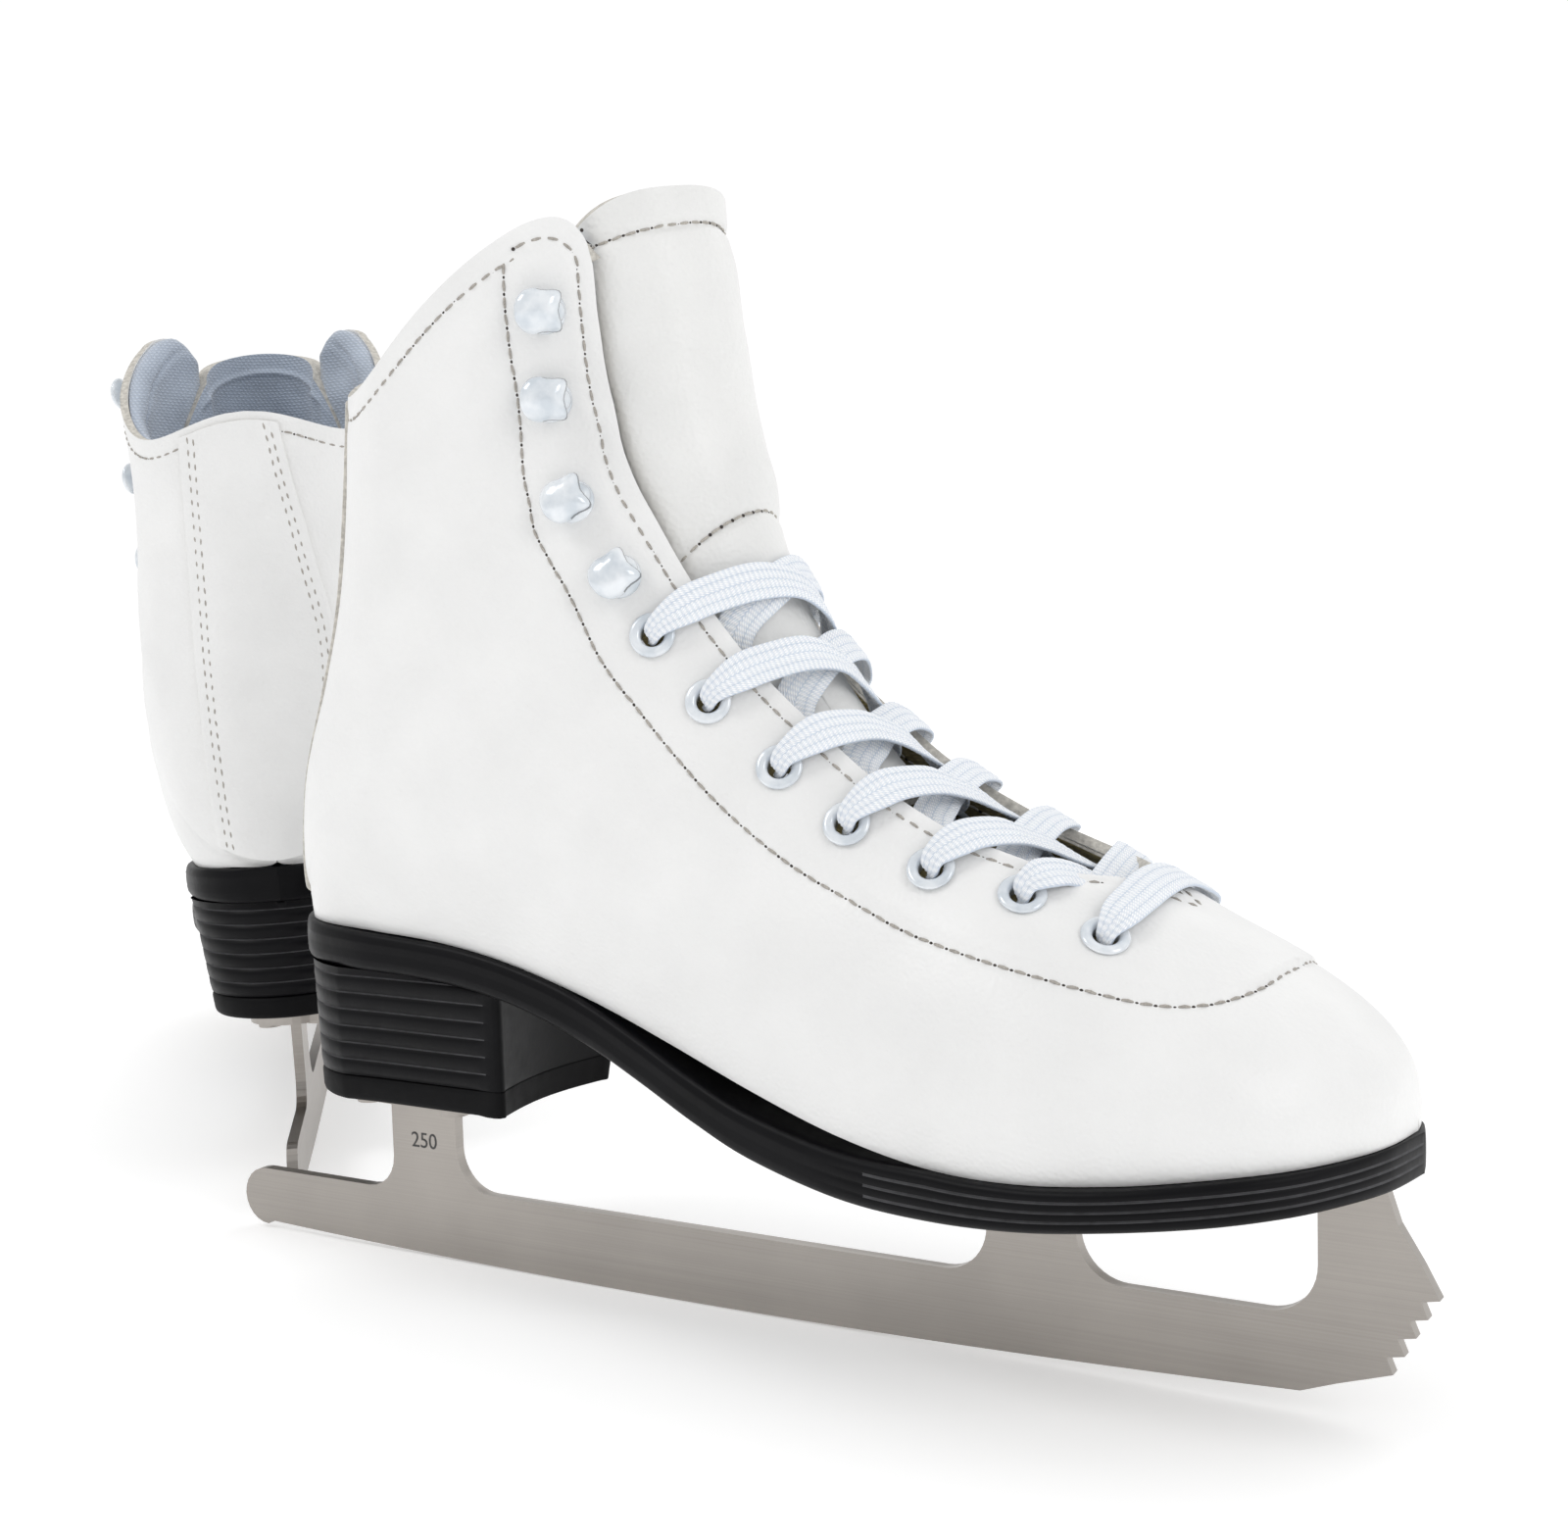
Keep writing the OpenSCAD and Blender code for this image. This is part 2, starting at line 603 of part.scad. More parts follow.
// Eyelets, hooks and lace
outer_reach = leather_t + 1.4; // depth of a riveted shank below the leather's face
module eyelet() {
    rotate_extrude($fn = 48) polygon([
        [eyelet_bore / 2, -outer_reach],
        [eyelet_d / 2 - 0.6, -outer_reach],
        [eyelet_d / 2 - 0.6, -outer_reach + 0.5],
        [eyelet_bore / 2 + 0.7, -outer_reach + 0.5],
        [eyelet_bore / 2 + 0.7, overlay_t + 0.2],
        [eyelet_d / 2, overlay_t + 0.2],
        [eyelet_d / 2 - 0.3, overlay_t + 0.9],
        [eyelet_d / 2 - 1.2, overlay_t + 1.2],
        [eyelet_bore / 2, overlay_t + 0.9],
    ]);
}
module eyelets(side) {
    color(white) for (s = EYELETS) on_skin(s, lace_hole(s, side)) eyelet();
}

// A hook curls away from the throat: a riveted foot, a neck and a wide head
module hook(side) {
    translate([0, 0, -outer_reach]) cylinder(d = 6, h = 0.6, $fn = 32);
    translate([0, 0, -outer_reach]) cylinder(d = 3, h = outer_reach + overlay_t + 0.5, $fn = 32);
    translate([0, 0, overlay_t + 0.25]) cylinder(d = 7.4, h = 0.9, $fn = 32);
    translate([-2.2, -side * 3.4 - 0.6, overlay_t + 0.3]) cube([4.4, 1.2, 4.6]);
    translate([-hook_w / 2, side * 0.2 - 4, overlay_t + 4.4]) cube([hook_w, 8, 1]);
}

module hooks(side) {
    color(white) for (s = HOOKS) on_skin(s, hook_place(s, side)) hook(side);
}

// A crossing leaves an eyelet outwards, runs over its facing's edge and the tongue, then under
// the other facing and up into the next lower eyelet there. Each row is a point, a direction
// across the lace and how wide the lace is there.
over = overlay_t + 1.6;
proud = over + 1.4;
under = outer_t - 2.2;
function lace_row(s, y, d, k) =
    let (w = at_y(s, abs(y), y < 0 ? -1 : 1)) [off(s, w, d), normal(s, w), k];
function lace_over(s, y, d) = max(d, tongue_top(s, y) + lace_t / 2 + 1.1);
function crossing(i, side) =
    let (a = EYELETS[i], b = EYELETS[i - 1], h = hole_y(a), g = hole_y(b),
         from = throat(a) - 1, to = throat(b + 0.3) - 3, lift = side < 0 ? lace_t + 0.6 : 0)
    [lace_row(a, side * h, under, 0.4),
     lace_row(a, side * h, proud, 0.4),
     lace_row(a - 0.04, side * (h - 4), proud + 0.3, 0.8),
     for (v = [0, 0.2, 0.4, 0.6, 0.8, 1])
         let (s = a - 0.12 + (b + 0.3 - a + 0.12) * v, y = side * (from - (from + to) * v))
         lace_row(s, y, lace_over(s, y, over + 0.3 + (under - over - 0.6) * v * v)
                        + lift * 4 * v * (1 - v), 1),
     lace_row(b + 0.25, -side * (to + 5), under - 0.3, 1),
     lace_row(b + 0.1, -side * (g - 2), under - 0.3, 0.6)];
function chain(side) = [for (i = [6:-1:1]) each crossing(i, i % 2 == 0 ? side : -side)];
function tail(side) =
    let (a = EYELETS[6])
    [for (u = [0.9, 0.3]) lace_row(a + u, side * (hole_y(a) - 1), under - 0.2, 0.6)];
function bar() =
    let (a = EYELETS[0], h = hole_y(a))
    [lace_row(a, -h, under, 0.4),
     lace_row(a, -h, proud, 0.4),
     lace_row(a - 0.03, 4 - h, proud + 0.3, 0.8),
     for (y = [-13, -7, 0, 7, 13]) lace_row(a - 0.05, y, over + 0.4, 1),
     lace_row(a - 0.03, h - 4, proud + 0.3, 0.8),
     lace_row(a, h, proud, 0.4),
     lace_row(a, h, under, 0.4)];
function reversed(v) = [for (i = [len(v) - 1:-1:0]) v[i]];
LACE = concat(tail(-1), chain(-1), bar(), reversed(concat(tail(1), chain(1))));

module lace() {
    n = len(LACE);
    function ahead(i) = LACE[min(i + 1, n - 1)][0] - LACE[max(i - 1, 0)][0];
    function ring(i) =
        let (t = unit(ahead(i)), k = LACE[i][2], n0 = LACE[i][1],
             y = unit(cross(n0 + [0.001, 0, 0], t)), z = cross(t, y),
             a = lace_w / 2 * k, b = lace_t / 2 * (2 - k))
        [for (c = [[a, 0], [0.8 * a, b], [-0.8 * a, b], [-a, 0], [-0.8 * a, -b], [0.8 * a, -b]])
            LACE[i][0] + c[0] * y + c[1] * z];
    points = [for (i = [0:n - 1]) each ring(i)];
    last = 6 * (n - 1);
    color(white) polyhedron(points, [
        for (i = [0:n - 2], j = [0:5])
            let (k = 6 * i + j, l = 6 * i + (j + 1) % 6)
            each [[k, k + 6, l + 6], [k, l + 6, l]],
        for (j = [1:4]) [0, j, j + 1],
        for (j = [1:4]) [last, last + j + 1, last + j],
    ], convexity = 10);
}

module right() {
    translate([-middle_x, -middle_y, 0]) children();
}

module left() {
    lift = runner_w / 2 * sin(left_lean);
    translate([left_x - middle_x, left_y - middle_y, lift]) rotate([0, 0, left_turn])
        rotate([-left_lean, 0, 0]) mirror([0, 1, 0]) children();
}

right() runner();  // right_runner
right() heel_plate();  // right_heel_plate
right() sole_plate();  // right_sole_plate
right() heel_screws();  // right_heel_screws
right() sole_screws();  // right_sole_screws
right() top_lift();  // right_top_lift
right() heel_block();  // right_heel_block
right() outsole();  // right_outsole
right() insole_board();  // right_insole_board
right() footbed();  // right_footbed
right() shank();  // right_shank
right() vamp();  // right_vamp
right() quarter(-1);  // right_outer_quarter
right() quarter(1);  // right_inner_quarter
right() facing(-1);  // right_outer_facing
right() facing(1);  // right_inner_facing
right() back_stay();  // right_back_stay
right() lining();  // right_lining
right() toe_box();  // right_toe_box
right() heel_counter();  // right_heel_counter
right() ankle_foam();  // right_ankle_foam
right() tongue_lower();  // right_tongue_lower
right() tongue_upper();  // right_tongue_upper
right() eyelets(-1);  // right_outer_eyelets
right() eyelets(1);  // right_inner_eyelets
right() hooks(-1);  // right_outer_hooks
right() hooks(1);  // right_inner_hooks
right() lace();  // right_lace
left() runner();  // left_runner
left() heel_plate();  // left_heel_plate
left() sole_plate();  // left_sole_plate
left() heel_screws();  // left_heel_screws
left() sole_screws();  // left_sole_screws
left() top_lift();  // left_top_lift
left() heel_block();  // left_heel_block
left() outsole();  // left_outsole
left() insole_board();  // left_insole_board
left() footbed();  // left_footbed
left() shank();  // left_shank
left() vamp();  // left_vamp
left() quarter(-1);  // left_outer_quarter
left() quarter(1);  // left_inner_quarter
left() facing(-1);  // left_outer_facing
left() facing(1);  // left_inner_facing
left() back_stay();  // left_back_stay
left() lining();  // left_lining
left() toe_box();  // left_toe_box
left() heel_counter();  // left_heel_counter
left() ankle_foam();  // left_ankle_foam
left() tongue_lower();  // left_tongue_lower
left() tongue_upper();  // left_tongue_upper
left() eyelets(-1);  // left_outer_eyelets
left() eyelets(1);  // left_inner_eyelets
left() hooks(-1);  // left_outer_hooks
left() hooks(1);  // left_inner_hooks
left() lace();  // left_lace
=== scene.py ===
import math

import bmesh
import bpy
import numpy as np
from mathutils import Matrix, Vector, kdtree


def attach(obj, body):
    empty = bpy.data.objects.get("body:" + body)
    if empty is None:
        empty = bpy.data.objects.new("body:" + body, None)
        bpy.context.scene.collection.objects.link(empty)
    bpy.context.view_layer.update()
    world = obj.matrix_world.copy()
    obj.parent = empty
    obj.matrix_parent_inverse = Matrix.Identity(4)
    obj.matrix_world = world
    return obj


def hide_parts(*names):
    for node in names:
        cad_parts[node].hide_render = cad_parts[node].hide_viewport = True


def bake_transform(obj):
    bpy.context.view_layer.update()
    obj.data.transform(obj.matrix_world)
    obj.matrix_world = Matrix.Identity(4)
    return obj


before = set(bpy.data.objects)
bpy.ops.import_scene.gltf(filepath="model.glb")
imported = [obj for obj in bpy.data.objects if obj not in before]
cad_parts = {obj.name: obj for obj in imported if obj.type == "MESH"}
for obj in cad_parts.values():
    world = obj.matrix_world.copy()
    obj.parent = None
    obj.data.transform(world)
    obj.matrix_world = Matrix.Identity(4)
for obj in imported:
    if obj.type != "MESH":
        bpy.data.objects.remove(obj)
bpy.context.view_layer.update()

# Places of the two skates, as in the CAD, in millimetres and radians
MM = 0.001
MIDDLE = np.array([18.8, 98.9, 0.0])
LEFT_PLACE = np.array([-45.0, 36.5, 1.4 * math.sin(math.radians(2))])
LEFT_TURN = math.radians(129.3)
LEFT_LEAN = math.radians(2)
SIDES = ("right", "left")

# The boot's surface: stations with the foot edge's x, z and half widths, the ridge's x, z, y,
# the widest half widths and their height, half the throat's gap and the facing's seam
STATIONS = np.array([
    [261, 55, 0, 0, 261, 57, 3, 0, 0, 0.3, 0, 0],
    [259.5, 55, 12, 7, 259.5, 66, 3, 12.5, 7.5, 0.3, 0, 0],
    [255.2, 54.5, 21, 14, 255.2, 73, 2.5, 22, 14.5, 0.25, 0, 0],
    [247.5, 54, 31, 22, 247.5, 79.5, 2, 32, 22.5, 0.22, 0, 0],
    [235.5, 53, 39, 29, 236, 86, 2, 40, 29.5, 0.2, 0, 21],
    [219.5, 51, 43, 34, 221, 93, 1.5, 44, 35, 0.18, 0, 32.5],
    [202, 49.7, 44, 37, 206, 101, 1, 45, 38, 0.18, 13, 35.3],
    [183, 50, 42, 37, 191.5, 109, 0.5, 43.5, 38, 0.18, 19, 35.5],
    [163, 53, 38.5, 34, 177, 117.5, 0, 40, 36, 0.2, 20, 33.5],
    [141, 58.5, 34, 28, 162.5, 127.5, 0, 37, 33, 0.25, 19.5, 32],
    [119, 65, 30, 23, 149.5, 138.5, 0, 36, 32, 0.3, 19, 31.5],
    [97, 72, 27, 22, 139, 150, 0, 36, 32, 0.35, 19.7, 32],
    [77, 77.5, 26, 23, 131, 161.5, 0, 36.5, 33, 0.4, 20.6, 32.4],
    [58, 80.5, 25.5, 24.5, 125.5, 171, 0, 37, 34, 0.42, 20.5, 32],
    [39, 82, 25, 25, 121.5, 180, 0, 37, 35, 0.45, 20.7, 31.2],
    [20, 82.5, 21.5, 21.5, 118.5, 187.5, 0, 37, 35.5, 0.47, 20.8, 31],
    [10.5, 83, 12.5, 12.5, 116, 194.5, 0, 36.5, 35.5, 0.48, 20.4, 30.7],
    [7, 84, 0, 0, 114.3, 200.5, 0, 36.5, 35.5, 0.48, 20, 30.3],
    [6.5, 95, 0, 0, 113.2, 206, 0, 36, 35, 0.48, 20, 30],
    [9, 112, 0, 0, 112.3, 211.5, 0, 36, 35, 0.48, 20.4, 29.7],
    [15, 131, 0, 0, 111.6, 217, 0, 35.5, 35, 0.5, 20.9, 30.2],
    [21, 152, 0, 0, 111, 223, 0, 35.5, 35, 0.5, 21.5, 31],
    [25, 178, 0, 0, 110.5, 230, 0, 36, 36, 0.5, 22.8, 32],
    [28, 204, 0, 0, 110, 238, 0, 37, 37, 0.5, 27, 33],
])
# The sole: x, outer and inner half widths, height of the seam and of the underside
SOLE = np.array([
    [6, 0, 0, 83, 73.5], [7.5, 9.5, 9.5, 83, 73.5], [12, 17, 17, 83, 73.5],
    [20, 23, 23, 82.5, 73.5], [33, 26.5, 26.5, 82, 73.3], [48, 27, 26.5, 81.2, 72.8],
    [64, 27, 25.5, 79.8, 71.3], [80, 27.5, 24, 76.8, 68], [97, 28.5, 23, 72, 62.3],
    [112, 30.5, 23, 67.2, 56], [126, 33, 25.5, 62.8, 50], [141, 36, 30, 58.5, 45],
    [163, 40.5, 36, 53, 41.2], [183, 44, 39, 50, 40.6], [202, 45.5, 39, 49.7, 41.4],
    [219, 44.5, 36, 51, 43.2], [235.5, 40, 31.5, 53, 45], [247.5, 32, 24.5, 54, 46.2],
    [255, 22, 17, 54.5, 46.8], [259.8, 11, 10.5, 55, 47], [262.2, -2, 3, 55, 47.2],
])
# Stations where the throat, the facing's seam and the closed back begin, and the collar's
THROAT, APRON, BACK, TOP = 5.5, 3.7, 17, 23
EYELETS = [5.61, 6.66, 7.75, 8.84, 9.84, 11.03, 12.27]
HOOKS = [14.0, 16.2, 19.6, 21.8]
# The upper's thickness, the height of the facing on it, and the eyelets' inner radius
LEATHER, FACING, BORE = 2.2, 0.9, 2.4


def row(table, s):
    """Catmull-Rom rows of a table at row numbers s."""
    s = np.asarray(s, float)
    n = len(table) - 1
    i = np.clip(np.floor(s), 0, n - 1).astype(int)
    f = (s - i)[..., None]
    a, b, c, d = table[np.maximum(i - 1, 0)], table[i], table[i + 1], table[np.minimum(i + 2, n)]
    return 0.5 * (2 * b + (c - a) * f + (2 * a - 5 * b + 4 * c - d) * f**2
                  + (3 * b - a - 3 * c + d) * f**3)


def skin(s, w):
    """Points of the boot's surface: w is -1 at the outer foot edge, 0 at the ridge, 1 inside."""
    s, w = np.broadcast_arrays(np.asarray(s, float), np.asarray(w, float))
    q, t, side = row(STATIONS, s), 1 - np.abs(w), np.where(w < 0, -1.0, 1.0)
    e = np.where(side < 0, q[..., 2], q[..., 3])
    wide = np.where(side < 0, q[..., 7], q[..., 8])
    m = q[..., 9]
    low = np.sqrt(np.maximum(0, e * e + (wide * wide - e * e) * (1 - ((m - t) / m) ** 2)))
    high = wide * np.sqrt(np.maximum(0, 1 - ((t - m) / (1 - m)) ** 2))
    dip = 12.3 * (np.maximum(0, s - 14) / 9) ** 2 * 9.48 * t * (1 - t) ** 3
    return np.stack([q[..., 0] + (q[..., 4] - q[..., 0]) * t,
                     q[..., 6] + side * np.where(t < m, low, high),
                     q[..., 1] + (q[..., 5] - q[..., 1]) * t - dip], -1)


def unit(v):
    return v / np.maximum(np.linalg.norm(v, axis=-1, keepdims=True), 1e-9)


def normal(s, w, h=0.02):
    """The surface's outward direction, level across the closed back's seam."""
    s, w = np.broadcast_arrays(np.asarray(s, float), np.asarray(w, float))
    dw = skin(s, np.minimum(w + h, 1)) - skin(s, np.maximum(w - h, -1))
    ds = skin(np.minimum(s + h, TOP), w) - skin(np.maximum(s - h, 0), w)
    n = unit(np.cross(dw, ds))
    closed = (s >= BACK - 0.01) & (np.abs(w) > 0.9999)
    return unit(np.where(closed[..., None], n * [1, 0, 1], n))


def off(s, w, d):
    """Points at a distance d outside the surface."""
    return skin(s, w) + np.asarray(d, float)[..., None] * normal(s, w)


def at_y(s, y):
    """The w at a signed distance y from the ridge."""
    s, y = np.broadcast_arrays(np.asarray(s, float), np.asarray(y, float))
    q = row(STATIONS, s)
    wide = np.maximum(np.where(y < 0, q[..., 7], q[..., 8]), 1)
    return np.sign(y) * (1 - q[..., 9]) * (1 - np.sqrt(1 - np.minimum(1, np.abs(y) / wide) ** 2))


def back_y(s, y):
    """The w at a signed distance y from the middle of the closed back."""
    q = row(STATIONS, s)
    wide = np.where(np.asarray(y) < 0, q[..., 7], q[..., 8])
    return np.where(np.asarray(y) < 0, -1, 1) * (1 - q[..., 9] * (1 - np.sqrt(1 - (y / wide) ** 2)))


def throat(s):
    """Half the gap between the facings."""
    return np.where(np.asarray(s) < THROAT, 0, row(STATIONS, s)[..., 10])


def hole_y(s):
    """Distance of an eyelet from the ridge."""
    return max(float(throat(s)), 18) + 7


def place(p, side):
    """Points of a skate, in its own millimetres, to the row frame in metres."""
    p = np.asarray(p, float)
    if side == "right":
        return (p - MIDDLE) * MM
    p = p * [1, -1, 1]
    c, s = math.cos(-LEFT_LEAN), math.sin(-LEFT_LEAN)
    p = np.stack([p[..., 0], c * p[..., 1] - s * p[..., 2], s * p[..., 1] + c * p[..., 2]], -1)
    c, s = math.cos(LEFT_TURN), math.sin(LEFT_TURN)
    p = np.stack([c * p[..., 0] - s * p[..., 1], s * p[..., 0] + c * p[..., 1], p[..., 2]], -1)
    return (p + LEFT_PLACE - MIDDLE) * MM


# ---------------------------------------------------------------- materials
class Nodes:
    """A short way to write a material's nodes."""

    def __init__(self, name, color, rough, metal=0.0):
        self.mat = bpy.data.materials.new(name)
        self.mat.use_nodes = True
        self.tree = self.mat.node_tree
        self.shader = self.tree.nodes["Principled BSDF"]
        self.shader.inputs["Base Color"].default_value = (*color, 1)
        self.shader.inputs["Roughness"].default_value = rough
        self.shader.inputs["Metallic"].default_value = metal
        self.coord = self.tree.nodes.new("ShaderNodeTexCoord")
        self.last_bump = None

    def node(self, kind, inputs=(), **props):
        n = self.tree.nodes.new("ShaderNode" + kind)
        for k, v in props.items():
            setattr(n, k, v)
        for k, v in dict(inputs).items():
            if isinstance(v, bpy.types.NodeSocket):
                self.tree.links.new(v, n.inputs[k])
            else:
                n.inputs[k].default_value = v
        return n

    def space(self, scale=(1, 1, 1), turn=0.0, output="Object"):
        return self.node("Mapping", {"Vector": self.coord.outputs[output], "Scale": scale,
                                     "Rotation": (0, 0, turn)}).outputs["Vector"]

    def noise(self, scale, detail=4, vector=None):
        return self.node("TexNoise", {"Vector": vector or self.coord.outputs["Object"],
                                      "Scale": scale, "Detail": detail}).outputs["Fac"]

    def ramp(self, fac, stops):
        n = self.node("ValToRGB", {"Fac": fac})
        e = n.color_ramp.elements
        for k, (pos, color) in enumerate(stops):
            el = e[k] if k < 2 else e.new(pos)
            el.position, el.color = pos, (*color, 1) if len(color) == 3 else color
        return n.outputs["Color"]

    def span(self, fac, lo, hi):
        return self.node("MapRange", {"Value": fac, "To Min": lo, "To Max": hi}).outputs["Result"]

    def math(self, op, a, b=0.0):
        return self.node("Math", {0: a, 1: b}, operation=op).outputs[0]

    def color(self, socket):
        self.tree.links.new(socket, self.shader.inputs["Base Color"])

    def rough(self, socket):
        self.tree.links.new(socket, self.shader.inputs["Roughness"])

    def bump(self, height, distance, strength=1.0):
        inputs = {"Height": height, "Distance": distance, "Strength": strength}
        if self.last_bump:
            inputs["Normal"] = self.last_bump
        self.last_bump = self.node("Bump", inputs).outputs["Normal"]
        self.tree.links.new(self.last_bump, self.shader.inputs["Normal"])

    def set(self, **values):
        for k, v in values.items():
            self.shader.inputs[k.replace("_", " ")].default_value = v


def leather(name, color, pebble=1100, depth=0.00013):
    m = Nodes(name, color, 0.42)
    cells = m.node("TexVoronoi", {"Vector": m.coord.outputs["Object"], "Scale": pebble,
                                  "Randomness": 1.0}, feature="SMOOTH_F1").outputs["Distance"]
    tint = m.noise(45, 5)
    lo, hi = [c * 0.955 for c in color], [min(1, c * 1.02) for c in color]
    m.color(m.ramp(tint, [(0.3, lo), (0.7, hi)]))
    m.rough(m.span(m.noise(260, 5), 0.34, 0.52))
    m.bump(m.noise(30, 3), 0.0004, 0.35)
    m.bump(m.noise(2600, 3), 0.00003, 0.5)
    m.bump(cells, depth, 0.8)
    m.set(Coat_Weight=0.08, Coat_Roughness=0.3)
    return m.mat


def fibre(name, color, scale=900, depth=0.0002):
    m = Nodes(name, color, 0.9)
    m.color(m.ramp(m.noise(scale, 6), [(0.3, [c * 0.6 for c in color]), (0.7, color)]))
    m.bump(m.noise(scale * 1.6, 6), depth, 0.9)
    return m.mat


def woven(name, color, pitch, sheen=0.3):
    """Cloth with threads pitch apart, in metres."""
    m = Nodes(name, color, 0.85)
    waves = [m.node("TexWave", {"Vector": m.coord.outputs["Object"], "Scale": 0.32 / pitch,
                                "Distortion": 1.2, "Detail": 1.0},
                    bands_direction=axis).outputs["Fac"] for axis in ("Z", "DIAGONAL")]
    both = m.math("MULTIPLY", waves[0], waves[1])
    cloud = m.math("MULTIPLY", m.noise(70, 5), 0.6)
    m.color(m.ramp(m.math("ADD", m.math("MULTIPLY", both, 0.5), cloud),
                   [(0.2, [c * 0.62 for c in color]), (0.75, color)]))
    m.bump(m.noise(140, 4), 0.0006, 0.4)
    m.bump(both, pitch * 0.25, 0.8)
    m.set(Sheen_Weight=sheen, Sheen_Roughness=0.5)
    return m.mat


def brushed(name, turn, color=(0.37, 0.345, 0.32), rough=(0.24, 0.44)):
    """Steel brushed along a direction turned in plan from +X."""
    m = Nodes(name, color, 0.3, 1.0)
    along = m.space((60, 60, 2600), -turn)
    streaks = m.node("Mapping", {"Vector": along, "Scale": (0.12, 1.0, 1.0)})
    fine = m.noise(1.0, 3, streaks.outputs["Vector"])
    blotch = m.noise(28, 4)
    m.color(m.ramp(m.math("ADD", m.math("MULTIPLY", fine, 0.45), m.math("MULTIPLY", blotch, 0.55)),
                   [(0.3, [c * 0.86 for c in color]), (0.7, [min(1, c * 1.1) for c in color])]))
    m.rough(m.span(fine, *rough))
    m.bump(fine, 0.00002, 0.35)
    m.set(Anisotropic=0.45)
    return m.mat


def moulded(name, color, rough=(0.3, 0.5)):
    m = Nodes(name, color, 0.4)
    m.color(m.ramp(m.noise(60, 5), [(0.3, [c * 0.8 for c in color]),
                                    (0.75, [c * 1.4 for c in color])]))
    m.rough(m.span(m.noise(320, 5), *rough))
    m.bump(m.noise(900, 4), 0.00006, 0.4)
    m.bump(m.noise(60, 2), 0.0003, 0.25)
    m.set(Specular_IOR_Level=0.12)
    return m.mat


def enamel(name, dim=1.0):
    m = Nodes(name, (0.82, 0.85, 0.88), 0.16, 0.15)
    m.color(m.ramp(m.noise(240, 3), [(0.35, [c * dim for c in (0.60, 0.65, 0.70)]),
                                     (0.65, [c * dim for c in (0.80, 0.83, 0.86)])]))
    m.rough(m.span(m.noise(700, 3), 0.1, 0.26))
    m.bump(m.noise(420, 2), 0.00008, 0.25)
    m.set(Coat_Weight=0.6, Coat_Roughness=0.06)
    return m.mat


def braid(name):
    """Flat braid: u runs along the lace in millimetres, v from 0 to 1 across it."""
    m = Nodes(name, (0.85, 0.87, 0.90), 0.8)
    split = m.node("SeparateXYZ", {"Vector": m.coord.outputs["UV"]})
    u, v = split.outputs[0], split.outputs[1]
    side = m.math("ABSOLUTE", m.math("SUBTRACT", v, 0.5))
    slant = m.math("ADD", u, m.math("MULTIPLY", side, 9.0))
    chevron = m.math("SINE", m.math("MULTIPLY", slant, 5.6))
    strands = m.math("SINE", m.math("MULTIPLY", v, 50.0))
    knit = m.math("MULTIPLY", chevron, strands)
    shade = m.span(knit, 0.0, 1.0)
    bands = m.math("ABSOLUTE", m.math("SINE", m.math("MULTIPLY", v, 12.566)))
    groove = m.math("POWER", bands, 0.35)
    # The braid's chevrons and strands, with painted shade: blue-grey in their lows and along four
    # grooves down the lace, white on their tops
    m.color(m.ramp(m.math("MULTIPLY", m.math("ADD", shade, 0.35), groove),
                   [(0.1, (0.60, 0.67, 0.77)), (0.62, (0.96, 0.97, 0.985))]))
    m.bump(knit, 0.00018, 0.5)
    m.bump(m.noise(3200, 3), 0.00003, 0.3)
    m.set(Sheen_Weight=0.25, Sheen_Roughness=0.4)
    return m.mat


MATS = {
    "leather": leather("white_leather", (0.80, 0.80, 0.795)),
    "tongue": leather("tongue_leather", (0.76, 0.76, 0.75), 900, 0.00022),
    "edge": fibre("cut_edge", (0.70, 0.67, 0.61)),
    "lining": woven("lining", (0.50, 0.57, 0.68), 0.0009, 0.5),
    "canvas": woven("canvas", (0.34, 0.275, 0.12), 0.0008, 0.1),
    "felt": fibre("felt", (0.50, 0.51, 0.54), 500),
    "black": moulded("sole_black", (0.0022, 0.0022, 0.003)),
    "groove": fibre("layer_groove", (0.07, 0.07, 0.075), 400, 0.0001),
    "rubber": moulded("rubber_black", (0.002, 0.002, 0.0025), (0.5, 0.7)),
    "enamel": enamel("enamel"),
    # A darker copy of the enamel: painted shade on the hooks' domes
    "shade": enamel("enamel_painted_shade", 0.35),
    "lace": braid("lace_braid"),
    "thread": fibre("thread", (0.47, 0.44, 0.40), 2600, 0.00006),
    "pale_thread": fibre("pale_thread", (0.52, 0.49, 0.44), 2600, 0.00006),
    # Painted shade: dark brown in the bottom of each needle hole
    "hole": fibre("needle_hole_shade", (0.055, 0.045, 0.04), 900, 0.00005),
    "mark": fibre("etched_mark", (0.10, 0.10, 0.10), 1500, 0.00003),
}
STEEL = {"right": brushed("runner_steel_right", 0.0),
         "left": brushed("runner_steel_left", LEFT_TURN)}


# ---------------------------------------------------------------- mesh helpers
def link(obj):
    bpy.context.scene.collection.objects.link(obj)
    return obj


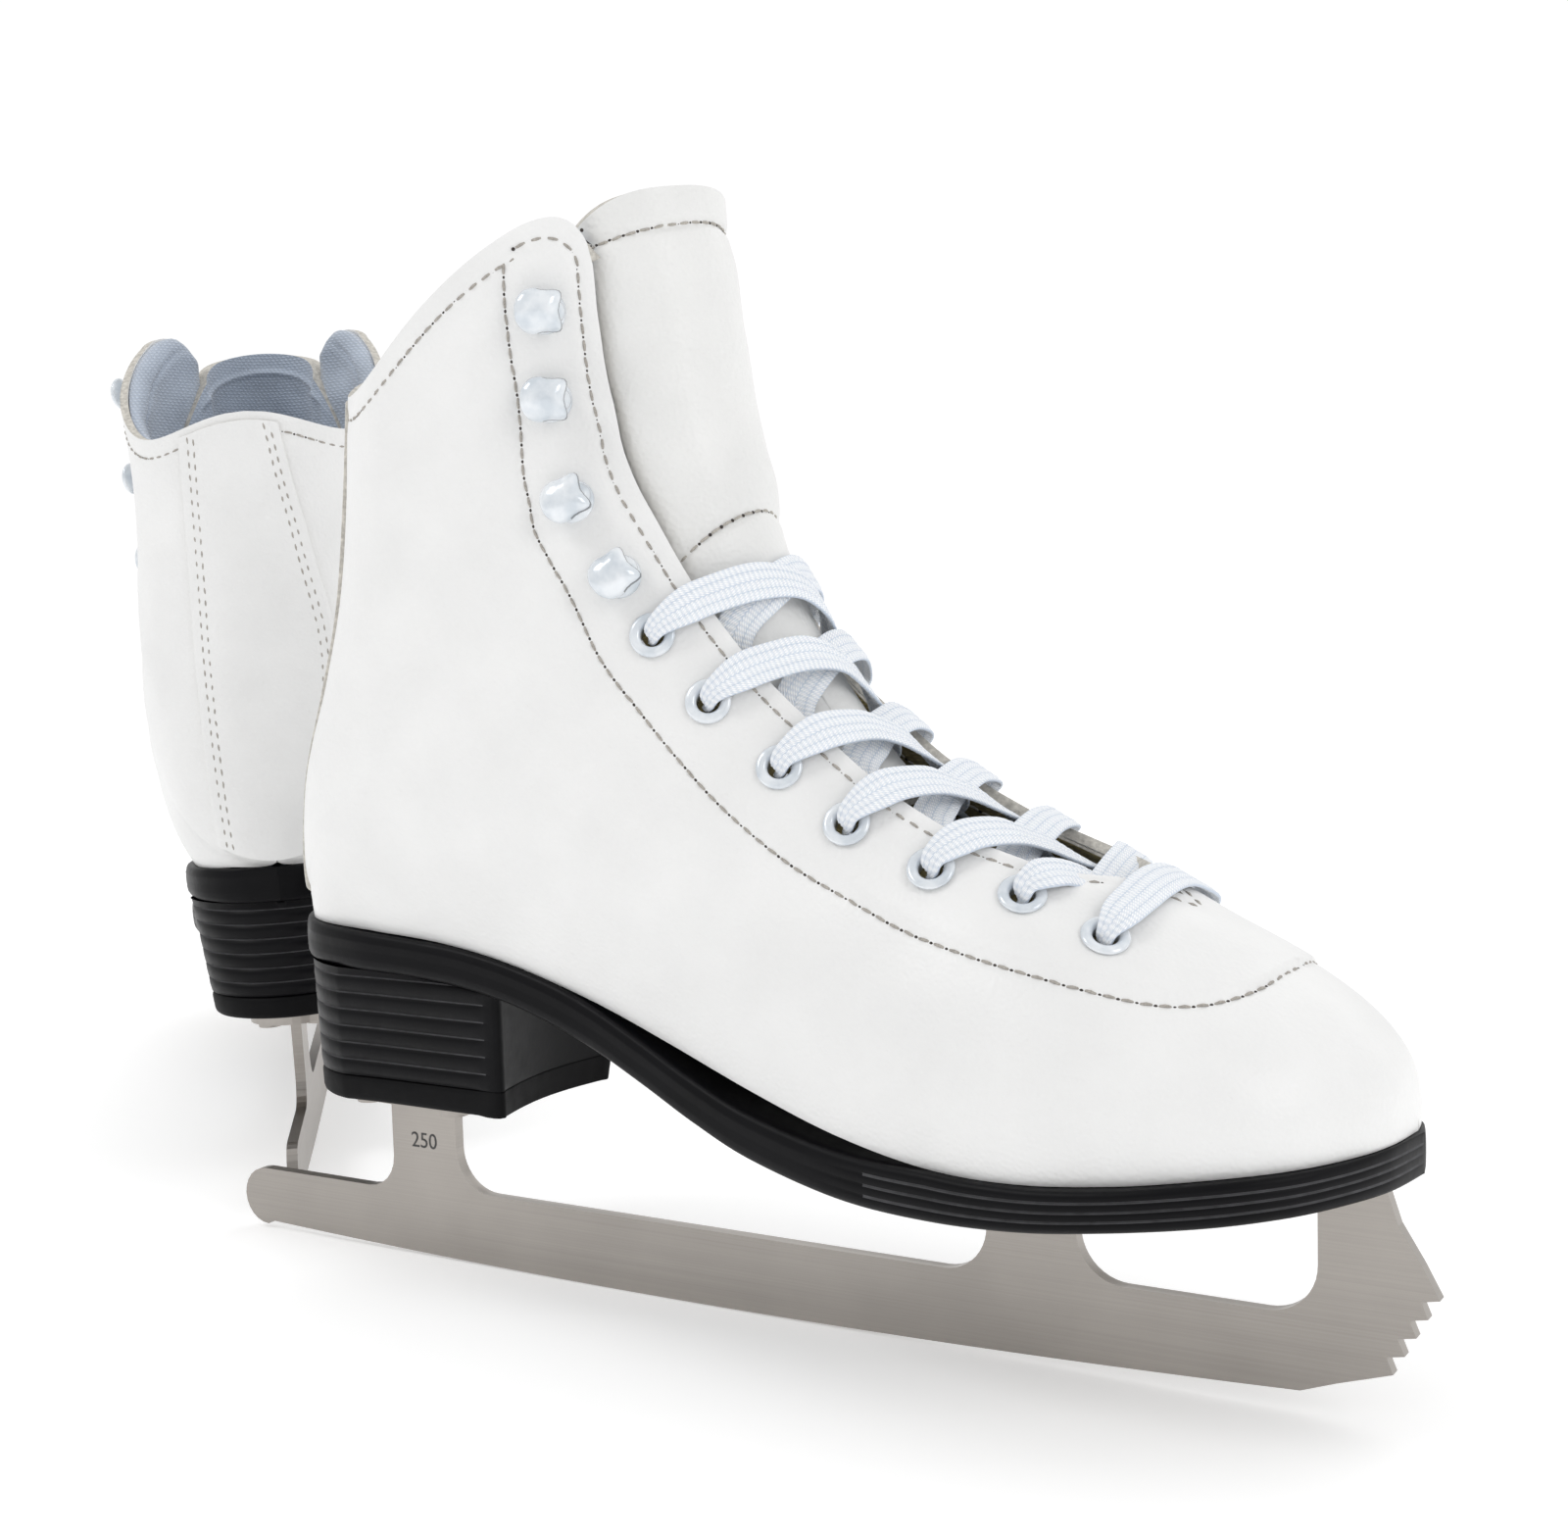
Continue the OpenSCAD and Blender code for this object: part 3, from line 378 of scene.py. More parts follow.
def add(name, side, points, faces, slot, mats, index=None, uv=None, smooth=True, rides=True):
    """A mesh piece from points in a skate's millimetres, with materials by name."""
    p = place(points, side)
    f = [tuple(int(i) for i in (q if side == "right" else q[::-1])) for q in faces]
    mesh = bpy.data.meshes.new(f"{side}_{name}")
    mesh.from_pydata(p.tolist(), [], f)
    for m in mats:
        mesh.materials.append(MATS[m])
    if index is not None:
        mesh.polygons.foreach_set("material_index", np.asarray(index, np.int32))
    if uv is not None:
        layer = mesh.uv_layers.new(name="UVMap")
        loops = np.zeros(len(mesh.loops), np.int32)
        mesh.loops.foreach_get("vertex_index", loops)
        layer.data.foreach_set("uv", np.asarray(uv, np.float32)[loops].ravel())
    mesh.polygons.foreach_set("use_smooth", [smooth] * len(mesh.polygons))
    mesh.validate()
    obj = link(bpy.data.objects.new(f"{side}_{name}", mesh))
    if rides:
        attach(obj, f"{side}_skate")
    return obj


def grid(nr, nc, wrap=False):
    """Quads of a grid of nr rows of nc points, closed across each row if wrap."""
    i, j = np.meshgrid(np.arange(nr - 1), np.arange(nc if wrap else nc - 1), indexing="ij")
    a, b = i * nc + j, i * nc + (j + 1) % nc
    return np.stack([a, b, b + nc, a + nc], -1).reshape(-1, 4)


def steps(*parts):
    """Even steps through parts, each from a value to a value in a count of points."""
    return np.concatenate([np.linspace(*part)[:-1] for part in parts] + [[parts[-1][1]]])


def closed_sheet(outer, inner):
    """Points and faces of a sheet between two grids of the same shape, with its rims."""
    nr, nc, _ = outer.shape
    n = nr * nc
    top = grid(nr, nc)
    ring = np.concatenate([np.arange(nc), np.arange(1, nr) * nc + nc - 1,
                           (nr - 1) * nc + np.arange(nc - 2, -1, -1),
                           np.arange(nr - 2, 0, -1) * nc])
    nxt = np.roll(ring, -1)
    rim = np.stack([ring, ring + n, nxt + n, nxt], -1)
    faces = np.concatenate([top, top[:, ::-1] + n, rim])
    return np.concatenate([outer.reshape(-1, 3), inner.reshape(-1, 3)]), faces, len(top), len(rim)


def merged(sheets):
    """Points and faces of several meshes as one."""
    starts = np.cumsum([0] + [len(p) for p, _ in sheets])
    return (np.concatenate([p for p, _ in sheets]),
            np.concatenate([f + n for (_, f), n in zip(sheets, starts)]))


def ends(rows, n):
    """The two faces that close a tube of rows of n points."""
    return [list(range(n)), [(rows - 1) * n + j for j in range(n)][::-1]]


def runs(points):
    """The distance along a line at each of its points."""
    steps = np.linalg.norm(np.diff(points, axis=0), axis=1)
    return np.concatenate([[0], np.cumsum(steps)])


def points_at(x, run, rows):
    """Rows of three numbers, read at the distances x."""
    return np.stack([np.interp(x, run, rows[:, a]) for a in range(3)], 1)


def rim_index(tops, rims):
    """Material numbers of a closed sheet: 0 on its two sides, 1 on its rims."""
    return np.concatenate([np.zeros(2 * tops, int), np.ones(rims, int)])


def soften(obj, width, segments=2, angle=35):
    b = obj.modifiers.new("Bevel", "BEVEL")
    b.width, b.segments = width * MM, segments
    b.limit_method, b.angle_limit = "ANGLE", math.radians(angle)
    return obj


def smooth_line(points, step):
    """Catmull-Rom through rows of numbers, with a row about every step millimetres."""
    p = np.asarray(points, float)
    seg = np.linalg.norm(np.diff(p[:, :3], axis=0), axis=1)
    s = np.concatenate([np.linspace(i, i + 1, max(2, int(round(d / step))), endpoint=False)
                        for i, d in enumerate(seg)] + [[len(p) - 1]])
    return row(p, s)


def smoothstep(x):
    x = np.clip(x, 0, 1)
    return x * x * (3 - 2 * x)


def curve(points):
    """A smooth function through rows of (station, value)."""
    p = np.array(points, float)
    dense = row(p, np.linspace(0, len(p) - 1, 40 * len(p)))
    return lambda s: np.interp(s, dense[:, 0], dense[:, 1])


# Edge of the throat and seam of the facing, as distances from the ridge
edge_at = curve([[5.3, 0], [5.7, 5.3], [6.4, 15.8], [7.4, 19.6], [8.25, 19.9], [9, 19.4],
                 [9.8, 19], [11.1, 19.7], [12.1, 20.4], [13.2, 20.5], [14.8, 20.7], [16.9, 20],
                 [18, 20], [20.2, 20.9], [21.8, 21.6], [22.6, 22.2], [23, 22.6]])
seam_at = curve([[3.7, 0.5], [3.9, 17.5], [4.5, 29], [5.6, 34.3], [7, 35.3], [8.8, 32.4],
                 [10.8, 31.7], [12.5, 32.2], [14.5, 31.1], [18.8, 29.9], [22.2, 32.2], [23, 33]])


def corner(s, away, radius=10.0):
    """How far, in stations, the flap's rounded top corner lies below the collar."""
    inside = np.clip(radius - away, 0, radius)
    drop = radius - np.sqrt(radius * radius - inside * inside)
    return drop / 8 * np.clip((s - 18.5) / 4.5, 0, 1) ** 2


def edge_y(s):
    return np.where(np.asarray(s) < 5.3, 0, edge_at(s))


def seam_column(s):
    q = row(STATIONS, s)
    return np.maximum(np.where(np.asarray(s) < APRON, 0, seam_at(s)), 0.45 * q[..., 8])


def puff(s, w):
    """How far the facing stands proud of the boot's surface."""
    s = np.asarray(s, float)
    side = np.where(np.asarray(w) < 0, -1, 1)
    seam = np.abs(at_y(s, side * np.where(s < APRON, 0.0, seam_at(s))))
    return FACING * smoothstep((seam - np.abs(w)) / 0.05) * (s > APRON)


# ---------------------------------------------------------------- lines of stitching
def on_front(s, y, side):
    s = np.asarray(s, float)
    return s, at_y(s, side * np.asarray(y, float) * np.ones_like(s))


def collar_line(side, below):
    """The line a distance below the collar, from the facing's seam to the back."""
    w = side * np.linspace(float(abs(at_y(23.0, seam_at(23.0)))) - 0.16, 0.995, 160)
    step = np.linalg.norm(skin(22.9, w) - skin(23.0, w), axis=1) / 0.1
    return 23.0 - below / step, w


STAY_OUT = curve([[17, 12], [18.5, 13.6], [20.2, 15.2], [21.5, 15.4], [23, 15.4]])
STAY_IN = curve([[17, 12.5], [18.5, 14.5], [20.3, 16.6], [21.6, 12], [22.4, 8], [23, 5.4]])
LINES = []
for k in (-1, 1):
    s = np.concatenate([np.linspace(3.71, 4.5, 50), np.linspace(4.52, 22.5, 400)])
    LINES.append((*on_front(s, seam_at(s), k), -0.1))
    s = np.linspace(6.0, 21.7, 360)
    y = edge_at(s) + 2.3
    turn = np.linspace(0, math.pi / 2, 24)
    s = np.concatenate([s, 21.7 + 0.92 * np.sin(turn)])
    y = np.concatenate([y, y[-1] + 8.0 * (1 - np.cos(turn))])
    LINES.append((*on_front(s, y, k), 0.75))
    LINES.append((*collar_line(k, 3.7), -0.12))
    s = np.linspace(5.05, 5.75, 30)
    LINES.append((*on_front(s, np.interp(s, [5.05, 5.75], [0.5, 8.6]), k), 0.75))
STAY_LINES = []
for k, stay in ((-1, STAY_OUT), (1, STAY_IN)):
    for more in (0, -1.6):
        s = np.linspace(17.15, 22.8, 200)
        STAY_LINES.append((s, back_y(s, k * (stay(s) + more)), 0.95))


def stitched(lines, pitch=3.35, length=2.3, radius=0.3):
    """Thread and needle holes along lines, as points, faces and material numbers."""
    ring = np.linspace(0, 2 * math.pi, 8, endpoint=False)
    xs = np.array([-0.5, -0.42, 0, 0.42, 0.5]) * length
    rs = np.array([0.3, 0.85, 1, 0.85, 0.3]) * radius
    cap = np.array([[x, r * math.cos(a), r * 0.8 * math.sin(a) - 0.3 * (2 * x / length) ** 2]
                    for x, r in zip(xs, rs) for a in ring])
    cap_faces = grid(5, 8, True).tolist()
    hole = np.array([[r * math.cos(a), r * math.sin(a), z]
                     for r, z in ((0.4, -0.05), (0.22, 0.05)) for a in ring])
    hole_faces = grid(2, 8, True).tolist() + [list(range(8, 16))]
    points, faces, index, n = [], [], [], 0
    rng = np.random.default_rng(4)
    for s, w, d in lines:
        p, z = off(s, w, np.full(len(s), d)), normal(s, w)
        run = runs(p)
        for kind, at in (("thread", np.arange(pitch / 2, run[-1], pitch)),
                         ("hole", np.arange(0.01, run[-1], pitch))):
            c = points_at(at, run, p)
            up = unit(points_at(at, run, z))
            x = unit(points_at(at + 0.4, run, p) - points_at(at - 0.4, run, p))
            y = unit(np.cross(up, x))
            if kind == "thread":
                turn = rng.normal(0, 0.06, len(at))[:, None]
                x, y = unit(x + turn * y), unit(y - turn * x)
            shape, quads, mat = (cap, cap_faces, 0) if kind == "thread" else (hole, hole_faces, 1)
            low = 0.0 if kind == "thread" else -0.22
            for k in range(len(at)):
                points.append(c[k] + shape[:, :1] * x[k] + shape[:, 1:2] * y[k]
                              + (shape[:, 2:] + low) * up[k])
                faces.extend([[i + n for i in q] for q in quads])
                index.extend([mat] * len(quads))
                n += len(shape)
    return np.concatenate(points), faces, index


# ---------------------------------------------------------------- the upper
def upper_shape():
    """The leather's outer surface from sole to throat, with the eyelets' holes cut out."""
    s = steps((0.02, 1, 26), (1, 6.5, 110), (6.5, TOP, 190))
    seam, edge = seam_column(s), edge_y(s)
    tree = kdtree.KDTree(sum(len(line[0]) for line in LINES))
    n = 0
    for ls, lw, _ in LINES:
        for p in skin(ls, lw):
            tree.insert(p, n)
            n += 1
    tree.balance()
    halves = []
    for side in (-1, 1):
        w_seam, w_edge = np.abs(at_y(s, side * seam)), np.abs(at_y(s, side * edge))
        w = 1 - (1 - w_seam)[:, None] * np.linspace(0, 1, 90)
        p = np.concatenate([skin(s[:, None], side * w), w[..., None]], -1)
        d = np.linalg.norm(np.diff(p[..., :3], axis=1), axis=-1)
        run = np.concatenate([np.zeros((len(s), 1)), np.cumsum(d, 1)], 1)
        share = 1 - (1 - np.linspace(0, 1, 36)) ** 1.45
        body = np.stack([np.interp(share * run[k, -1], run[k], w[k]) for k in range(len(s))])
        y = seam[:, None] + (edge - seam)[:, None] * np.linspace(0, 1, 20)[1:] ** 0.9
        face = np.abs(at_y(s[:, None], side * y))
        w = side * np.concatenate([body, face], 1)
        away = np.concatenate([np.full(body.shape, 99.0), np.maximum(0, y - edge[:, None])], 1)
        ss = s[:, None] - corner(s[:, None], away)
        if side > 0:
            w, ss = w[:, ::-1], ss[:, ::-1]
        base = skin(ss, w)
        near = np.array([tree.find(q)[2] for q in base.reshape(-1, 3)]).reshape(ss.shape)
        # Soft unevenness of the leather, the folds at the ankle, and a dip along each seam
        x, z = base[..., 0], base[..., 2]
        lump = 0.22 * np.sin(x / 17 + 1) * np.sin(z / 13) + 0.12 * np.sin(x / 7 + z / 9)
        lump *= smoothstep(ss / 2) * smoothstep(near / 4)
        fold = 0.35 * np.exp(-((ss - 12.3) / 2.2) ** 2) * np.sin(z / 3.1 + x / 5.5)
        fold *= smoothstep((np.abs(w) - 0.35) / 0.2) * smoothstep((0.95 - np.abs(w)) / 0.2)
        d = puff(ss, w) - 0.38 * np.exp(-(near / 0.9) ** 2) + lump + fold
        p = base + d[..., None] * normal(ss, w)
        halves.append((p.reshape(-1, 3), grid(len(s), w.shape[1])))
    points, faces = merged(halves)
    holes = [off(e, at_y(e, k * hole_y(e)), FACING) for e in EYELETS for k in (-1, 1)]
    middle = points[faces].mean(1)
    keep = np.ones(len(faces), bool)
    for h in holes:
        keep &= np.linalg.norm(middle - h, axis=1) > 2.9
    return points, faces[keep]


def weld(obj, distance):
    """Joins the two halves where they meet and drops the points left by the cut holes."""
    b = bmesh.new()
    b.from_mesh(obj.data)
    bmesh.ops.remove_doubles(b, verts=b.verts, dist=distance * MM)
    loose = [v for v in b.verts if not v.link_faces]
    bmesh.ops.delete(b, geom=loose, context="VERTS")
    b.to_mesh(obj.data)
    b.free()
    obj.data.polygons.foreach_set("use_smooth", [True] * len(obj.data.polygons))


def build(side):
    """Every piece of one skate."""
    def stands_for(piece, *nodes):
        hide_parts(*(f"{side}_{n}" for n in nodes))

    piece = add("upper", side, *SHAPES["upper"], "white_leather", ["leather", "edge"])
    weld(piece, 0.04)
    solid = piece.modifiers.new("Thickness", "SOLIDIFY")
    solid.thickness, solid.offset, solid.material_offset_rim = LEATHER * MM, -1, 1
    soften(piece, 0.3, 2, 55)
    stands_for(piece, "vamp", "outer_quarter", "inner_quarter", "outer_facing", "inner_facing")

    p, f, tops, rims = SHAPES["stay"]
    piece = add("back_strip", side, p, f, "white_leather", ["leather", "edge"],
                rim_index(tops, rims))
    stands_for(soften(piece, 0.2), "back_stay")

    p, f, index = SHAPES["stitches"]
    add("stitches", side, p, f, "thread", ["thread", "hole"], index)

    p, f, tops, rims = SHAPES["canvas"]
    add("facing_canvas", side, p, f, "canvas", ["canvas", "edge"],
        np.tile(rim_index(tops, rims), 2))
    p, f, index = SHAPES["canvas_stitches"]
    add("canvas_stitches", side, p, f, "thread", ["pale_thread", "hole"], index)

    piece = add("inner_lining", side, *SHAPES["lining"], "lining_fabric", ["lining"])
    weld(piece, 0.02)
    stands_for(piece, "lining", "toe_box", "heel_counter", "ankle_foam")

    p, f, tops, rims = TONGUES[side][0]
    index = np.concatenate([np.zeros(tops, int), np.ones(tops, int), np.full(rims, 2)])
    piece = add("tongue", side, p, f, "tongue_leather", ["tongue", "lining", "edge"], index,
                rides=False)
    soften(piece, 0.8, 3, 50)
    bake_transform(piece)
    stands_for(piece, "tongue_lower", "tongue_upper")
    p, f, index = stitched(TONGUES[side][1], 3.0, 2.2, 0.28)
    piece = add("tongue_stitches", side, p, f, "thread", ["pale_thread", "hole"], index,
                rides=False)
    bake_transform(piece)

    for name, slot, mats, node in (("sole", "sole_black", ["black", "groove"], "outsole"),
                                   ("heel", "sole_black", ["black", "groove"], "heel_block"),
                                   ("heel_lift", "black_rubber", ["rubber", "groove"], "top_lift"),
                                   ("insole", "footbed_fabric", ["felt"], "footbed")):
        p, f, index = SHAPES[name]
        stands_for(add(name, side, p, f, slot, mats, index), node)

    p, f, uv = SHAPES["laces"]
    stands_for(add("laces", side, p, f, "lace_cotton", ["lace"], uv=uv), "lace")
    for where in ("outer", "inner"):
        p, f = SHAPES[f"{where}_rings"]
        piece = add(f"{where}_eyelet_rings", side, p, f, "white_enamel", ["enamel"])
        stands_for(piece, f"{where}_eyelets")
        p, f, index = SHAPES[f"{where}_hook_heads"][side]
        piece = add(f"{where}_hook_heads", side, p, f, "white_enamel", ["enamel", "shade"], index)
        stands_for(piece, f"{where}_hooks")

    steel = STEEL[side]
    for node, width, mat in (("runner", 0.25, steel), ("heel_plate", 0.4, steel),
                             ("sole_plate", 0.4, steel), ("heel_screws", 0.2, steel),
                             ("sole_screws", 0.2, steel), ("insole_board", 0.15, MATS["edge"]),
                             ("shank", 0.15, steel)):
        piece = bpy.data.objects[f"{side}_{node}"]
        piece.data = piece.data.copy()
        piece.data.materials.clear()
        piece.data.materials.append(mat)
        soften(piece, width)


# ---------------------------------------------------------------- shapes, in a skate's millimetres
def stay_shape():
    s = np.linspace(17.1, 22.85, 110)
    y = np.stack([np.linspace(-(STAY_OUT(x) + 2.4), STAY_IN(x) + 2.4, 34) for x in s])
    ss = np.broadcast_to(s[:, None], y.shape)
    w = back_y(ss, y)
    margin = np.minimum(y + STAY_OUT(ss) + 2.4, STAY_IN(ss) + 2.4 - y)
    groove = np.exp(-((margin - 2.4) / 0.7) ** 2) + np.exp(-((margin - 4.0) / 0.7) ** 2)
    outer = 1.15 - 0.22 * groove
    return closed_sheet(off(ss, w, outer), off(ss, w, np.full(w.shape, 0.15)))


def canvas_shape():
    halves, stitches = [], []
    for k in (-1, 1):
        s = np.linspace(5.45, 20.6, 185)
        y0 = edge_at(s) + 0.25
        wide = np.maximum(seam_at(s) - 1.5, y0 + 5) - y0
        y = y0[:, None] + np.linspace(0, 1, 14) * wide[:, None]
        y = y if k > 0 else -y[:, ::-1]
        ss = np.broadcast_to(s[:, None], y.shape)
        w = at_y(ss, y)
        d = puff(ss, w) - LEATHER
        p, f, tops, rims = closed_sheet(off(ss, w, d - 0.04), off(ss, w, d - 0.75))
        halves.append((p, f))
        line = np.linspace(5.9, 20.3, 345)
        stitches.append((line, at_y(line, k * (edge_at(line) + 3.6)), -LEATHER + 0.9 - 0.75))
    return *merged(halves), tops, rims, stitches


def lining_shape():
    s = steps((2, THROAT, 30), (THROAT, 21.4, 130), (21.4, 22.95, 34))
    halves = []
    for side in (-1, 1):
        c = np.linspace(0, 1, 46)
        high = smoothstep((s - 20.3) / 0.8)
        y_top = (seam_column(s) - 2.5) * (1 - high) + (edge_at(s) + 0.6) * high
        w_top = np.where(s < THROAT, 0.0, np.abs(at_y(s, side * y_top)))
        low = np.where(s < BACK - 0.3, 0.97, 1.0)
        w = side * (low[:, None] + (w_top - low)[:, None] * c)
        w = w if side < 0 else w[:, ::-1]
        ss = np.broadcast_to(s[:, None], w.shape)
        q = row(STATIONS, ss)
        span = np.abs(skin(ss, w)[..., 1] - q[..., 6])
        away = np.where(np.abs(w) < 0.6, span - edge_at(ss), 99)
        top = np.clip((23 - ss) / 0.6, 0, 1)
        ss = ss - corner(ss, np.maximum(0, away))
        fat = 4.2 * np.sqrt(1 - (1 - top) ** 2) + 0.1
        q = skin(ss, w)
        x, z = q[..., 0], q[..., 2]
        wrinkle = (0.5 * np.sin(z / 2.4 + 1.7 * np.sin(x / 9)) * np.sin(x / 13 + z / 21)
                   + 0.35 * np.sin(z / 4.7 - q[..., 1] / 6))
        seam = 0.9 * np.exp(-((23 - ss) - 0.55) ** 2 / 0.004)
        inner = -2.35 - fat - wrinkle * top + seam * top
        p, f, _, _ = closed_sheet(off(ss, w, np.full(w.shape, -2.32)), off(ss, w, inner))
        halves.append((p, f))
    return merged(halves)


# Height of the tongue's middle over the ridge
SWELL = curve([[8, -12], [9, -9.5], [10, -6], [11.5, -1.6], [12.6, 1.6], [14, 4.6], [16, 6.8],
               [18, 8.0], [20.5, 7.6], [23, 6.4]])
# The panel stitched on the tongue: stations of its lower and upper line, and its half width
PANEL_LOW, PANEL_TOP, PANEL_HALF = 12.95, 22.0, 25.0
# Radius of the tongue's top corners
ROUND = 17


def tongue_offset(s, y):
    """Height of the tongue's face over the boot's surface."""
    half = edge_at(s)
    hump = np.clip(1 - (np.abs(y) / (1.02 * half)) ** 2, 0, 1) ** 0.75
    low = np.interp(s, [8.8, 10.8, 13], [-11.5, -5.2, -3.8])
    return low + (SWELL(s) - low) * hump


def tongue_shape(short=0.0):
    """The padded tongue and its lines of stitching, with its top short stations lower."""
    s = steps((8.8, 13, 50), (13, TOP, 150))
    half = np.interp(s, [8.8, 10.5, 13, 18, 22, 23], [15, 22, 27.5, 28.5, 30, 30])
    u = np.linspace(-1, 1, 92)
    y = half[:, None] * u
    reach = np.minimum(half[:, None] - np.abs(y), ROUND)
    drop = ROUND - np.sqrt(ROUND ** 2 - (ROUND - reach) ** 2)
    at, across, top = s[:, None], np.abs(y), PANEL_TOP - short
    ss = at - 0.12 * np.clip((at - 20) / 3, 0, 1) - short * np.clip((at - 14) / 9, 0, 1)
    ss = np.minimum(ss - drop / 8.0 * np.clip((at - 15) / 8, 0, 1) ** 2, 23.25)
    # Grooves along the panel's sides, bottom and top, and the padding that swells inside them
    panel = np.exp(-((across - PANEL_HALF) / 1.1) ** 2)
    panel = panel * smoothstep((ss - 12.9) / 0.1) * smoothstep((top - ss) / 0.1)
    lower = np.exp(-((ss - PANEL_LOW) * 9 / 1.1) ** 2) * (across < 25.1)
    upper = np.exp(-((ss - top) * 7.8 / 1.1) ** 2) * (across < PANEL_HALF)
    pillow = 0.8 * smoothstep(ss - 13.0) * smoothstep(top - ss) * smoothstep((24 - across) / 8)
    base = np.minimum(ss, 23)
    q = skin(base, at_y(base, y))
    crease = 0.35 * np.sin(q[..., 2] / 3.4 + y / 9) * np.exp(-((ss - 13.4) / 1.3) ** 2)
    grain = 0.18 * np.sin(y / 5.0 + q[..., 2] / 8) * np.sin(q[..., 2] / 6)
    groove = np.maximum(np.maximum(panel, lower), upper)
    d = tongue_offset(base, y) - groove + pillow + crease + grain
    thick = 2.6 + 4.2 * np.clip(1 - (np.abs(u)[None, :]) ** 4, 0, 1) * np.ones_like(ss)
    rise = (ss - base)[..., None] * np.array([0.5, 0, 8.0])
    w = at_y(base, y)
    n = normal(base, w)
    p = skin(base, w) + rise
    lines = []
    line = np.linspace(PANEL_LOW, top, 140)
    edge = np.full_like(line, PANEL_HALF)
    for k in (-1, 1):
        lines.append((line, at_y(line, k * edge), tongue_offset(line, edge) - 0.75))
    y = np.linspace(-22.0, 22.0, 60)
    for level in (PANEL_LOW, top):
        line = np.full_like(y, level)
        lines.append((line, at_y(line, y), tongue_offset(line, y) - 0.7))
    return closed_sheet(p + d[..., None] * n, p + (d - thick)[..., None] * n), lines


def sole_rows(count, r0=0.05, r1=20.0):
    return row(SOLE, np.linspace(r0, r1, count))


def sole_shape():
    q = sole_rows(220)
    x, a, b, top, low = q[:, 0], -np.maximum(q[:, 1], -q[:, 2]), q[:, 2], q[:, 3], q[:, 4]
    b = np.maximum(b, a + 0.6)
    top = np.minimum(top - 0.1, low + 9.2)
    # Height share and inset of the side's profile; the grooves fade out behind the ball of the foot
    prof = [(0, 3.2, 0), (0, 1.0, 0), (0.06, 0.2, 0), (0.16, -0.35, 0),
            (0.27, -0.5, 0), (0.30, -0.02, 1), (0.33, -0.5, 0),
            (0.5, -0.6, 0), (0.53, -0.05, 1), (0.56, -0.6, 0),
            (0.72, -0.5, 0), (0.75, 0.0, 1), (0.78, -0.45, 0),
            (0.9, -0.2, 0), (0.97, 0.15, 0), (1.0, 0.7, 0), (1.0, 3.0, 0)]
    depth = smoothstep((x - 150) / 40)
    ring = []
    for share, inset, is_groove in prof:
        deep = -0.55 + (inset + 0.55) * depth if is_groove else inset
        ins = np.minimum(deep, (b - a) * 0.45)
        ring.append(np.stack([x, a + ins, low + (top - low) * share], 1))
    left = np.stack(ring, 1)
    right = left.copy()
    right[..., 1] = (a + b)[:, None] - left[..., 1]
    loop = np.concatenate([left, right[:, ::-1]], 1)
    n = loop.shape[1]
    f = grid(len(x), n, True)[:, ::-1]
    column = np.arange(len(f)) % n
    dark = np.isin(column, [4, 5, 7, 8, 10, 11] + [n - 2 - j for j in (4, 5, 7, 8, 10, 11)])
    faces = [q.tolist() for q in f] + ends(len(x), n)
    index = list((dark & (np.repeat(depth[:-1], n) > 0.5)).astype(int)) + [0, 0]
    return loop.reshape(-1, 3), faces, index


def heel_ring(z, inset):
    """A level section of the heel: a round back and sides that run forward to a flat breast."""
    f = (z - 41.6) / 38
    r, cx, front = 21.5 + 5.2 * f, 28 + 5.2 * f, 68.5 + 4 * f
    half = r - 0.8
    outline = [[cx + r * math.cos(t), r * math.sin(t)]
               for t in np.linspace(math.radians(100), math.radians(260), 60)]
    outline += [[x, -half] for x in np.linspace(cx + 6, front - 1.5, 16)]
    outline += [[front - 0.45, -half + 0.45], [front, -half + 1.6]]
    outline += [[front - 3.2 * math.cos(math.pi * y / 2 / half), y]
                for y in np.linspace(-half + 3, half - 3, 12)]
    outline += [[front, half - 1.6], [front - 0.45, half - 0.45]]
    outline += [[x, half] for x in np.linspace(front - 1.5, cx + 6, 16)]
    p = np.array(outline)
    c = np.array([cx + 8, 0])
    d = np.linalg.norm(p - c, axis=1, keepdims=True)
    inset = inset * np.where(p[:, :1] > front - 4, 0.0, 1.0)
    p = c + (p - c) * (1 - inset / d)
    return np.concatenate([p, np.full((len(p), 1), z)], 1)


def stack(levels, cut=None):
    """A closed solid through level sections (z, inset, material), its top trimmed to the sole."""
    rings = np.stack([heel_ring(z, inset) for z, inset, _ in levels])
    if cut:
        under = np.interp(rings[..., 0], SOLE[:, 0], SOLE[:, 4]) - 0.15
        rings[..., 2] = np.minimum(rings[..., 2], under)
    n = rings.shape[1]
    f = grid(len(levels), n, True)
    faces = [q.tolist() for q in f[:, ::-1]] + ends(len(levels), n)
    breast = rings[0, :, 0] > rings[0, :, 0].max() - 4
    index = [mat * (not flat) for _, _, mat in levels[1:] for flat in breast] + [0, 0]
    return rings.reshape(-1, 3), faces, index


def heel_shape():
    levels = [(47.75, 0.5, 0), (47.8, 0.1, 0)]
    for z in np.arange(51.6, 74, 3.95):
        levels += [(z - 1.9, -0.1, 0), (z - 0.2, 0.0, 0), (z - 0.14, 0.22, 1),
                   (z + 0.12, 0.22, 1), (z + 0.18, 0.0, 0)]
    levels += [(74.2, 0, 0), (76.5, 0, 0)]
    return stack(levels, True)


